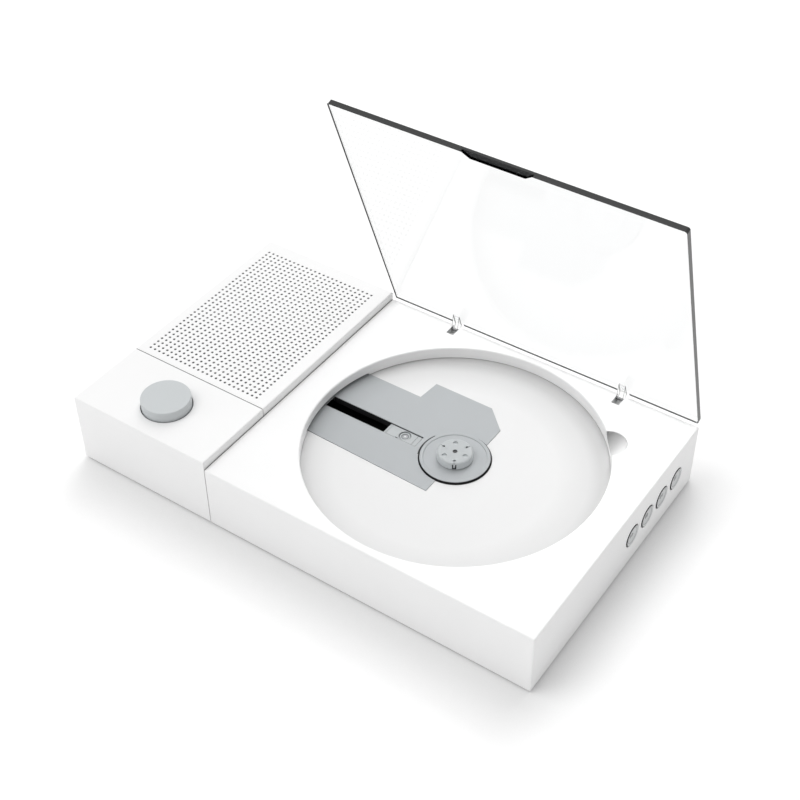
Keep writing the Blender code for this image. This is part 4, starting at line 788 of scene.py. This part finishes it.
def make_deck():
    """The grey deck plate with the pickup slot, the turntable opening and its short groove."""
    below, above = DECK_LOW.z - OVERRUN, DECK_TOP + OVERRUN
    deck = flat_outline("deck_plate", deck_points(0, FLOOR_RADIUS), DECK_LOW.z, DECK_TOP)
    hole = turned(
        "table_hole", tube(0, TABLE_RADIUS + TABLE_GAP + LINER, below, above), WELL
    )
    slot = block(
        "slot",
        (WELL_X - SLOT_OUTER, WELL_Y - SLOT_FRONT, below),
        (WELL_X - SLOT_INNER, WELL_Y + SLOT_REAR, above),
    )
    groove = flat_outline("groove", groove_points(TABLE_RADIUS), below, above)
    shape(deck, [hole, slot, groove])
    dress(deck, "base", DECK_GREY_RIM_SHADED, ["deck_cover"])


def bowl_points(first):
    """The finger notch's profile, from a first angle down to its lowest point."""
    angles = [math.radians(a) for a in range(first, 91, BOWL_STEP)]
    return [(NOTCH_RADIUS * math.cos(a), PLAYER_TOP - NOTCH_DEPTH * math.sin(a)) for a in angles]


def make_notch_bowl():
    """A thin bowl over the finger notch, its surface darkened towards the well by painted shade."""
    surface = bowl_points(BOWL_STEP)
    inner = [
        ((radius - LINER) if radius > LINER else 0, height + LINER) for radius, height in surface
    ]
    bowl = turned("notch_bowl", [*surface, *reversed(inner)], NOTCH_PLACE)
    well = turned(
        "well_room",
        tube(0, WELL_RADIUS + LINER * 2, PLAYER_TOP - NOTCH_DEPTH - OVERRUN, PLAYER_TOP + OVERRUN),
        WELL, WELL_SIDES,
    )
    shape(bowl, [well])
    dress(bowl, "base", BOWL_WHITE_SHADED)


def dress_as_painted_shade(piece, body="base"):
    """Dresses a black sheet of painted shade."""
    return dress(piece, body, BLACK)


def make_painted_shades():
    """Black sheets of painted shade in the narrow gaps and behind the grille holes, and grey painted shade in the
    hinge slots.
    """
    # Painted shade: black sheets darken the gaps round the turntable, the groove, the pickup slot, the well skirt,
    # the knob and the seams
    edge = TABLE_RADIUS + TABLE_GAP
    dress_as_painted_shade(turned(
        "table_gap_shade", tube(edge, edge + LINER, DECK_LOW.z, DECK_TOP - TABLE_LINER_DROP), WELL,
        TABLE_SIDES, True,
    ))
    dress_as_painted_shade(flat_outline(
        "groove_shade", groove_points(edge + LINER), DECK_LOW.z, DECK_TOP - LINER_DROP
    ))
    for name, low_y, high_y in (
        ("front", -SLOT_FRONT - LINER, -SLOT_FRONT), ("rear", SLOT_REAR, SLOT_REAR + LINER),
    ):
        dress_as_painted_shade(block(
            f"slot_gap_shade_{name}",
            (WELL_X - SLOT_OUTER, WELL_Y + low_y, DECK_LOW.z - CURTAIN_DEPTH),
            (WELL_X - SLOT_INNER - LINER, WELL_Y + high_y, DECK_LOW.z),
        ))
    outer = WELL_RADIUS + WELL_SKIRT + LINER
    dress_as_painted_shade(turned(
        "skirt_gap_shade",
        tube(outer, outer + LINER, DECK_TOP + LINER_DROP, FLOOR_TOP + SKIRT_GAP + SKIRT_RELIEF), WELL,
        WELL_SIDES, True,
    ))
    rim = CONTROL_TOP - KNOB_CHAMFER - LINER_DROP
    dress_as_painted_shade(turned(
        "knob_gap_shade", tube(KNOB_OPENING - LINER, KNOB_OPENING, CONTROL_TOP - WALL, rim),
        KNOB_MIDDLE, TABLE_SIDES, True,
    ))
    dress_as_painted_shade(block(
        "seam_gap_shade",
        (CONTROL_LOW.x + EDGE_ROUND, CONTROL_HIGH.y, UNDERSIDE + WALL),
        (CONTROL_HIGH.x - EDGE_ROUND, SPEAKER_LOW.y, CONTROL_TOP - LINER_DROP),
    ))
    dress_as_painted_shade(block(
        "step_gap_shade",
        (CONTROL_HIGH.x, FRONT + EDGE_ROUND, UNDERSIDE + WALL),
        (PLAYER_LOW.x, REAR - EDGE_ROUND, PLAYER_TOP - LINER_DROP),
    ))
    # Grey painted shade on the floor, front, left side, back and sill of each hinge slot
    rim = PLAYER_TOP - SLOT_SHADE_DROP
    back_top = HINGE_PLACE[2] - SLOT_BACK_BELOW_HINGE
    back, back_end = REAR - SLOT_BACK[0], REAR - SLOT_BACK[1]
    floor = SLOT_BOTTOM + LINER
    for number in HINGE_ARMS:
        low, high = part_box(f"hinge_arm_{number}")
        left, right = low.x - GAP, high.x + GAP
        for name, near, far in (
            ("floor", (left, SLOT_START, SLOT_BOTTOM), (right, REAR - WALL, floor)),
            ("front", (left, SLOT_START, SLOT_BOTTOM), (right, SLOT_START + LINER, rim)),
            ("left", (left, SLOT_START, SLOT_BOTTOM), (left + LINER, REAR - WALL, rim)),
            ("back", (left, back, SLOT_BOTTOM), (right, back_end, back_top)),
            ("sill", (left, REAR - WALL, SLOT_BOTTOM), (right, back, floor)),
        ):
            side = block(f"slot_{name}_{number}", near, far)
            dress(side, "base", SHADE_GREY)
    low, high = grille_window()
    # Painted shade: a black sheet just under the grille holes
    top = CONTROL_TOP - GRILLE_SKIN - HOLE_SHADE_GAP
    dress_as_painted_shade(block("grille_hole_shade", (*low, top - HOLE_SHADE_THICKNESS), (*high, top)))


def make_turntable():
    """The turntable's flange with its raised rim, the hub with its holes, and the claw windows."""
    top = TABLE_HIGH.z
    inner = TABLE_RADIUS - TABLE_RIM
    flange = turned(
        "turntable_flange",
        [
            (SPINDLE_RADIUS, top - TABLE_RIM_RISE),
            (inner - TABLE_RIM_RISE, top - TABLE_RIM_RISE),
            (inner, top),
            *outer_corner(TABLE_RADIUS, top, TABLE_ROUND),
            (TABLE_RADIUS, TABLE_LOW.z),
            (SPINDLE_RADIUS, TABLE_LOW.z),
        ],
        WELL, TABLE_SIDES, closed=True,
    )
    dress(flange, "spindle", DECK_GREY_RIM_SHADED, ["turntable"])
    # Black sheets of painted shade round the turntable's edge, in the hub's bore and at its bottom
    skirt = tube(TABLE_RADIUS, TABLE_RADIUS + LINER / 2, TABLE_LOW.z, top - TABLE_ROUND)
    dress_as_painted_shade(turned("table_edge_shade", skirt, WELL, TABLE_SIDES, True), "spindle")
    bore = tube(HUB_BORE, HUB_BORE + LINER, HUB_LOW.z, HUB_HIGH.z - LINER_DROP)
    dress_as_painted_shade(turned("bore_shade", bore, WELL, HUB_BORE_SIDES, True), "spindle")
    cap = tube(0, BORE_END_SHADE, HUB_HIGH.z - GAP, HUB_HIGH.z - GAP + LINER)
    dress_as_painted_shade(turned("bore_end_shade", cap, WELL, HUB_HOLE_SIDES), "spindle")
    hub = turned(
        "hub",
        [
            (HUB_BORE + LINER, HUB_HIGH.z),
            *outer_corner(HUB_RADIUS, HUB_HIGH.z, HUB_ROUND),
            (HUB_RADIUS, HUB_LOW.z),
            (HUB_BORE + LINER, HUB_LOW.z),
        ],
        WELL, closed=True,
    )
    cuts = []
    claw_top = HUB_HIGH.z - CLAW_TOP - CLAW_GAP * 2
    for number in range(CLAW_COUNT):
        turn = math.radians(360) * number / CLAW_COUNT
        for angle, ring, radius in (
            (HUB_HOLE_ANGLE + turn, HUB_HOLE_RING, HUB_HOLE_RADIUS),
            (CLAW_ANGLE + turn, HUB_PIN_RING, HUB_PIN_RADIUS),
        ):
            place = WELL + ring * Vector((math.cos(angle), math.sin(angle)))
            cuts.append(round_hole_cutter(
                f"hub_hole_{number}_{radius}", radius, HOLE_CHAMFER, HUB_HIGH.z - HUB_HOLE_DEPTH,
                HUB_HIGH.z, place, HUB_HOLE_SIDES,
            ))
        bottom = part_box(f"disc_claw_{number + 1}")[0].z
        window = block(
            f"window_{number}",
            (CLAW_WINDOW_INNER, -CLAW_WINDOW_WIDTH / 2, HUB_LOW.z - OVERRUN),
            (HUB_RADIUS + OVERRUN, CLAW_WINDOW_WIDTH / 2, HUB_HIGH.z - CLAW_TOP - CLAW_GAP),
        )
        slit = block(
            f"hub_slit_{number}",
            (HUB_PIN_RING, -HUB_SLIT_WIDTH / 2, HUB_HIGH.z - HUB_SLIT_DEPTH),
            (HUB_RADIUS + OVERRUN, HUB_SLIT_WIDTH / 2, HUB_HIGH.z + OVERRUN),
        )
        placed = Matrix.Translation((*WELL, 0)) @ Matrix.Rotation(CLAW_ANGLE + turn, 4, "Z")
        cuts += [move(window, placed), move(slit, placed)]
        claw = block(
            f"claw_{number + 1}",
            (CLAW_WINDOW_INNER + CLAW_BACK, -CLAW_WIDTH / 2, bottom + CLAW_GAP),
            (HUB_RADIUS + CLAW_PROUD, CLAW_WIDTH / 2, claw_top),
            [("+X", "+Z"), ("+X", "-Z"), ("+X", "+Y"), ("+X", "-Y")], CLAW_ROUND,
        )
        # Black sheets of painted shade behind and beside each claw in its window
        backing = block(
            f"claw_window_back_shade_{number}",
            (CLAW_WINDOW_INNER, -CLAW_WINDOW_WIDTH / 2, HUB_LOW.z),
            (HUB_RADIUS - CLAW_PROUD, CLAW_WINDOW_WIDTH / 2, bottom + CLAW_GAP / 2),
        )
        dress_as_painted_shade(move(backing, placed), "spindle")
        for side in (-1, 1):
            lining = block(
                f"claw_lining_{number}_{side}",
                (CLAW_WINDOW_INNER, side * CLAW_WINDOW_WIDTH / 2 - LINER / 2, bottom + CLAW_GAP / 2),
                (HUB_RADIUS - CLAW_PROUD, side * CLAW_WINDOW_WIDTH / 2 + LINER / 2, claw_top),
            )
            dress_as_painted_shade(move(lining, placed), "spindle")
        move(claw, placed)
        dress(claw, f"claw_{number + 1}", HUB_GREY, [f"disc_claw_{number + 1}"])
    shape(hub, cuts)
    # The hub carries painted light on its side
    dress(hub, "spindle", HUB_SHELL_SIDE_LIT, ["spindle_hub"])


def make_knob():
    """The volume knob, a plain drum with a fine rounded edge."""
    top = KNOB_HIGH.z
    knob = turned(
        "knob",
        [
            (0, top),
            *outer_corner(KNOB_RADIUS, top, KNOB_ROUND, EDGE_STEPS),
            (KNOB_RADIUS, KNOB_LOW.z), (KNOB_BORE, KNOB_LOW.z), (KNOB_BORE, top - WALL),
            (0, top - WALL),
        ],
        KNOB_MIDDLE, KNOB_SIDES,
    )
    dress(knob, "knob", KNOB_GREY, ["volume_knob"])


def scoop_block(name, middle, reach, past, low, high):
    """The finger scoop's tapered outline, which may run past the lid's front edge."""
    front, inner = reach
    return flat_outline(
        name,
        [
            (middle - SCOOP_WIDTH / 2, front - past), (middle + SCOOP_WIDTH / 2, front - past),
            *([(middle + SCOOP_WIDTH / 2, front)] if past else []),
            (middle + SCOOP_INNER / 2, inner), (middle - SCOOP_INNER / 2, inner),
            *([(middle - SCOOP_WIDTH / 2, front)] if past else []),
        ],
        low, high,
    )


def arm_place(number):
    """The middle and the width of a hinge arm, in X."""
    low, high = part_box(f"hinge_arm_{number}")
    return (low.x + high.x) / 2, high.x - low.x


def make_lid():
    """The clear lid with its finger scoop and arms, modelled shut and turned open on the hinge."""
    hinge = Vector(HINGE_PLACE)
    opened = (
        Matrix.Translation(hinge)
        @ Matrix.Rotation(-LID_OPEN_ANGLE, 4, "X")
        @ Matrix.Translation(-hinge)
    )
    low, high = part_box("lid_panel")
    rear = REAR - LID_REAR_INSET
    under = CONTROL_TOP - LID_THICKNESS
    front = rear - LID_LENGTH
    corners = [("-X", "-Y"), ("+X", "-Y"), ("-X", "+Y"), ("+X", "+Y")]
    inset = Vector((LID_RIM, LID_RIM, 0))
    outer = (Vector((low.x, front, under)), Vector((high.x, rear, CONTROL_TOP)))
    lid = block("lid", outer[0] + inset, outer[1] - inset, corners, LID_CORNER, LID_CORNER_STEPS)
    # The rim is a dark strip of painted shade round the lid's edges
    rim = block("lid_rim", *outer, corners, LID_CORNER, LID_CORNER_STEPS)
    past = Vector((0, 0, OVERRUN))
    rim_cuts = [
        block(
            "lid_room", outer[0] + inset - past, outer[1] - inset + past, corners, LID_CORNER,
            LID_CORNER_STEPS,
        ),
        block(
            "line_room", (low.x - OVERRUN, front + LID_CORNER, under + LINER),
            (high.x - LID_CORNER, rear + OVERRUN, CONTROL_TOP + OVERRUN),
        ),
    ]
    breaks = [low.x + LID_LINE]
    for number in HINGE_ARMS:
        spot = arm_place(number)[0]
        rim_cuts.append(block(
            f"break_{number}", (spot - LID_RIM_BREAK, rear - LID_CORNER, under - OVERRUN),
            (spot + LID_RIM_BREAK, rear + OVERRUN, CONTROL_TOP + OVERRUN),
        ))
        breaks += [spot - LID_RIM_BREAK, spot + LID_RIM_BREAK]
    breaks.append(high.x - LID_CORNER)
    bm = bmesh.new()
    bm.from_mesh(lid.data)
    flat = [e for e in bm.edges if {side_of(f) for f in e.link_faces} & {"+Z", "-Z"}]
    bmesh.ops.bevel(bm, geom=flat, offset=LID_CHAMFER, segments=1, profile=0.5, affect="EDGES")
    bm.to_mesh(lid.data)
    bm.free()
    middle = (low.x + high.x) / 2
    reach = (front, front + SCOOP_LENGTH)
    scoop_top = under + SCOOP_DEPTH
    shape(lid, [scoop_block("scoop", middle, reach, OVERRUN, under - OVERRUN, scoop_top)])
    rim_cuts.append(scoop_block("rim_scoop", middle, reach, OVERRUN, under - OVERRUN, scoop_top))
    shape(rim, rim_cuts)
    # A thin sheet of painted shade on top of the scoop
    pad = scoop_block("scoop_pad", middle, reach, 0, scoop_top - LINER, scoop_top)
    # Dark lines of painted shade along the lid's left and rear edges
    lines = [((low.x, front + LID_RIM), (low.x + LID_LINE, rear))]
    for number in (0, 2, 4):
        lines.append(((breaks[number], rear - LID_REAR_LINE), (breaks[number + 1], rear)))
    for number, (near, far) in enumerate(lines):
        line = block(
            f"lid_line_{number}", (*near, under - LID_LINE_PROUD), (*far, under + LINER)
        )
        dress(move(line, opened), "lid", LID_EDGE_PAINTED_SHADE)
    side = block(
        "rim_side", (high.x - LID_CORNER, front + LID_CORNER, under - OVERRUN),
        (high.x + OVERRUN, rear + OVERRUN, CONTROL_TOP + OVERRUN),
    )
    right = link("lid_rim_right", rim.data.copy())
    keep = link("keep_side", side.data.copy())
    shape(rim, [side])
    shape(right, keeps=[keep])
    for piece, look in ((lid, ACRYLIC), (rim, LID_EDGE_PAINTED_SHADE), (right, LID_SIDE_PAINTED_SHADE), (pad, SCOOP_PAINTED_SHADE)):
        move(piece, opened)
        dress(piece, "lid", look, ["lid_panel"] if piece == lid else ())
    points = [
        (rear - HINGE_ARM_LENGTH, under),
        *arc(
            (hinge.y, hinge.z), HINGE_KNUCKLE_RADIUS, HINGE_KNUCKLE_FROM, HINGE_KNUCKLE_TO,
            HINGE_KNUCKLE_STEPS,
        ),
        (rear, under),
    ]
    for number in HINGE_ARMS:
        spot, width = arm_place(number)
        arm = flat_outline(f"arm_{number}", points, -width / 2, width / 2)
        upright = Matrix.Rotation(math.radians(90), 4, "Z") @ Matrix.Rotation(math.radians(90), 4, "X")
        placed = opened @ Matrix.Translation((spot, 0, 0)) @ upright
        dress(move(arm, placed), "lid", ARM_CLEAR, [f"hinge_arm_{number}"])
        middle = sum((Vector(point) for point in points), Vector((0, 0))) / len(points)
        outer, inner = (
            [middle + (Vector(point) - middle) * share for point in points] for share in ARM_EDGE_SHARES
        )
        # Dark outlines of painted shade on both faces of the arm
        for side in (-1, 1):
            far = side * (width / 2 + LID_LINE_PROUD)
            near = far - side * ARM_EDGE
            edge = flat_outline(f"arm_edge_{number}_{side}", outer, min(near, far), max(near, far))
            room = flat_outline("room", inner, -width, width)
            shape(edge, [room])
            dress(move(edge, placed), "lid", LID_SIDE_PAINTED_SHADE)


def make_buttons():
    """The side buttons with their dished caps and small generic marks."""
    for number in range(1, BUTTON_COUNT + 1):
        low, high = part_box(f"button_{number}")
        centre = (low + high) / 2
        cap = turned(
            f"button_cap_{number}",
            [
                *[
                    (BUTTON_CAP_RADIUS * k / DISH_STEPS, -BUTTON_DISH * (1 - (k / DISH_STEPS) ** 2))
                    for k in range(DISH_STEPS)
                ],
                *outer_corner(BUTTON_CAP_RADIUS, 0, BUTTON_CAP_ROUND),
                (BUTTON_CAP_RADIUS, -BUTTON_THICKNESS), (0, -BUTTON_THICKNESS),
            ],
            (0, 0), SMALL_SIDES,
        )
        placed = Matrix.Translation(Vector((high.x, centre.y, centre.z)) + BUTTON_SAG) @ SIDEWAYS
        dress(move(cap, placed), f"push_{number}", BUTTON_GREY, [f"button_{number}"])
        # Painted shade: a black sleeve round each cap darkens the gap about it
        sleeve = turned(
            f"button_gap_shade_{number}",
            tube(BUTTON_CAP_RADIUS, BUTTON_CAP_RADIUS + LINER / 2, -BUTTON_THICKNESS, -LINER / 2),
            (0, 0), SMALL_SIDES, True,
        )
        dress(move(sleeve, placed), f"push_{number}", BLACK)
        for part, outline in enumerate(BUTTON_MARKS[number - 1]):
            mark = flat_outline(
                f"mark_{number}_{part}", [(z / MM_PER_M, y / MM_PER_M) for y, z in outline],
                -BUTTON_DISH, -BUTTON_DISH + BUTTON_MARK_RISE,
            )
            dress(move(mark, placed), f"push_{number}", MARK_GREY)
        level = [-BUTTON_DISH * (1 - (radius / BUTTON_CAP_RADIUS) ** 2) for radius in BUTTON_RING]
        ring = turned(
            f"button_ring_{number}",
            tube(*BUTTON_RING, level[0] - LINER, level[1] + LINER / 4), (0, 0), SMALL_SIDES, True,
        )
        dress(move(ring, placed), f"push_{number}", MARK_GREY)


def make_pickup():
    """The pickup's top in the slot: a flat plate with fine grooves, the lens ring and the lens."""
    # A black sheet of painted shade under the plate shows through its grooves
    spans = {
        "carriage_groove_shade": (SLED_TOP, SLED_TOP + CARRIAGE_GROOVE_SHADE),
        "carriage_plate": (SLED_TOP + CARRIAGE_GROOVE_SHADE, SLED_TOP + CARRIAGE_GROOVE_SHADE + CARRIAGE_PLATE),
    }
    for name, (bottom, top) in spans.items():
        plate = block(
            name, (WELL_X - CARRIAGE_OUTER, WELL_Y - CARRIAGE_HALF, bottom),
            (WELL_X - CARRIAGE_INNER, WELL_Y + CARRIAGE_HALF, top),
        )
        cuts = [
            turned(f"{name}_well", tube(0, LENS_WELL, bottom - OVERRUN, top + OVERRUN), LENS_MIDDLE)
        ]
        if name == "carriage_plate":
            for number, (x, width) in enumerate(CARRIAGE_LINES):
                cuts.append(block(
                    f"line_{number}", (WELL_X + x, WELL_Y - SLOT_FRONT, bottom - OVERRUN),
                    (WELL_X + x + width, WELL_Y + SLOT_REAR, top + OVERRUN),
                ))
            x, length, width = CARRIAGE_MARK
            cuts.append(block(
                "mark", (WELL_X + x - length / 2, WELL_Y - SLOT_FRONT, bottom - OVERRUN),
                (WELL_X + x + length / 2, WELL_Y - CARRIAGE_HALF + width, top + OVERRUN),
            ))
        shape(plate, cuts)
        if name == "carriage_plate":
            dress(plate, "sled", HUB_GREY)
        else:
            dress_as_painted_shade(plate, "sled")
    top = LENS_HIGH.z + LENS_RING_RISE
    ring = turned(
        "lens_ring",
        [
            (LENS_RADIUS + LINER, top - LENS_RING_ROUND), (LENS_RADIUS + LINER + LENS_RING_ROUND, top),
            *outer_corner(LENS_RING, top, LENS_RING_ROUND),
            (LENS_RING, HOLDER_BOTTOM), (LENS_RADIUS + LINER, HOLDER_BOTTOM),
        ],
        LENS_MIDDLE, SMALL_SIDES, closed=True,
    )
    dress(ring, "lens_mount", HUB_GREY, ["lens_holder"])
    dome = [
        (
            LENS_RADIUS * k / DISH_STEPS,
            LENS_HIGH.z + LENS_DOME / 2 - LENS_DOME * (k / DISH_STEPS) ** 2,
        )
        for k in range(DISH_STEPS + 1)
    ]
    dome += [(LENS_RADIUS, LENS_LOW.z), (0, LENS_LOW.z)]
    # The lens dome carries the painted highlight
    lens = turned("lens_dome", dome, LENS_MIDDLE, SMALL_SIDES)
    dress(lens, "lens_mount", LENS_PAINTED_GLINT, ["lens"])


make_player_cover()
make_control_cover()
make_grille_cover()
make_floor()
make_deck()
make_turntable()
make_knob()
make_lid()
make_buttons()
make_pickup()
make_painted_shades()
make_notch_bowl()


def make_floor_plane():
    """A pale floor that is plain white to the camera apart from the shadow on it, deepened near the object by
    painted shadow.
    """
    bm = bmesh.new()
    bmesh.ops.create_grid(bm, x_segments=1, y_segments=1, size=FLOOR_SIZE / 2)
    plane = link("studio_floor", mesh_of(bm, "studio_floor"))
    look = bpy.data.materials.new("studio_floor")
    look.use_nodes = True
    tree = look.node_tree
    shader = tree.nodes["Principled BSDF"]
    shader.inputs["Roughness"].default_value = FLOOR_ROUGHNESS
    shader.inputs["Specular IOR Level"].default_value = 0.0
    # Painted shadow: the floor's colour darkens where the object is near, most on its front and right
    shade = tree.nodes.new("ShaderNodeAmbientOcclusion")
    shade.samples = FLOOR_SHADE_SAMPLES
    shade.inputs["Distance"].default_value = FLOOR_SHADE_REACH
    lean = tree.nodes.new("ShaderNodeCombineXYZ")
    for axis, value in zip("XYZ", Vector(FLOOR_SHADE_LEAN).normalized()):
        lean.inputs[axis].default_value = value
    tree.links.new(lean.outputs["Vector"], shade.inputs["Normal"])
    tone = tree.nodes.new("ShaderNodeValToRGB")
    tone.color_ramp.elements[0].color = (*[FLOOR_WHITE * (1 - FLOOR_SHADE)] * 3, 1)
    tone.color_ramp.elements[1].color = (*[FLOOR_WHITE] * 3, 1)
    tree.links.new(shade.outputs["AO"], tone.inputs["Fac"])
    tree.links.new(tone.outputs["Color"], shader.inputs["Base Color"])
    tree.links.new(tone.outputs["Color"], shader.inputs["Emission Color"])
    shader.inputs["Emission Strength"].default_value = FLOOR_GLOW
    plane.data.materials.append(look)


def worked_out(tree, operation, first, second):
    """The result of a math node on one socket and another, or on one socket and a number."""
    node = tree.nodes.new("ShaderNodeMath")
    node.operation = operation
    tree.links.new(first, node.inputs[0])
    if isinstance(second, float):
        node.inputs[1].default_value = second
    else:
        tree.links.new(second, node.inputs[1])
    return node.outputs[0]


def make_light():
    """A white surrounding, dimmer for what it lights than for what it shows, and four wide lamps."""
    world = bpy.data.worlds.new("studio")
    bpy.context.scene.world = world
    world.use_nodes = True
    tree = world.node_tree
    ground = tree.nodes["Background"]
    ground.inputs["Color"].default_value = (1, 1, 1, 1)
    path = tree.nodes.new("ShaderNodeLightPath")
    seen = worked_out(tree, "MAXIMUM", path.outputs["Is Camera Ray"], path.outputs["Is Glossy Ray"])
    seen = worked_out(tree, "MAXIMUM", seen, path.outputs["Is Transmission Ray"])
    direct = worked_out(tree, "LESS_THAN", path.outputs["Diffuse Depth"], FIRST_BOUNCE)
    shown = worked_out(tree, "MULTIPLY", seen, direct)
    strength = tree.nodes.new("ShaderNodeMapRange")
    strength.inputs["To Min"].default_value = AMBIENT
    strength.inputs["To Max"].default_value = 1.0
    tree.links.new(shown, strength.inputs["Value"])
    tree.links.new(strength.outputs["Result"], ground.inputs["Strength"])
    for name, azimuth, height, power in LAMPS:
        data = bpy.data.lights.new(name, "AREA")
        data.shape = "DISK"
        data.size = LAMP_SIZE
        data.energy = power
        lamp = bpy.data.objects.new(name, data)
        bpy.context.scene.collection.objects.link(lamp)
        around, up = math.radians(azimuth), math.radians(height)
        towards = Vector(
            (math.cos(around) * math.cos(up), math.sin(around) * math.cos(up), math.sin(up))
        )
        lamp.location = towards * LAMP_DISTANCE
        lamp.rotation_euler = (-towards).to_track_quat("-Z", "Y").to_euler()


def make_camera():
    """The camera at the photograph's place."""
    data = bpy.data.cameras.new("camera")
    data.lens = LENS_MM
    data.sensor_width = SENSOR_MM
    camera = bpy.data.objects.new("camera", data)
    bpy.context.scene.collection.objects.link(camera)
    forward = CAMERA_FORWARD.normalized()
    right = forward.cross(CAMERA_UP).normalized()
    up = right.cross(forward)
    turn = Matrix((right, up, -forward)).transposed()
    camera.matrix_world = Matrix.Translation(CAMERA_PLACE) @ turn.to_4x4()
    bpy.context.scene.camera = camera


make_floor_plane()
make_light()
make_camera()
bpy.context.scene.view_settings.view_transform = "Standard"

bpy.context.view_layer.update()
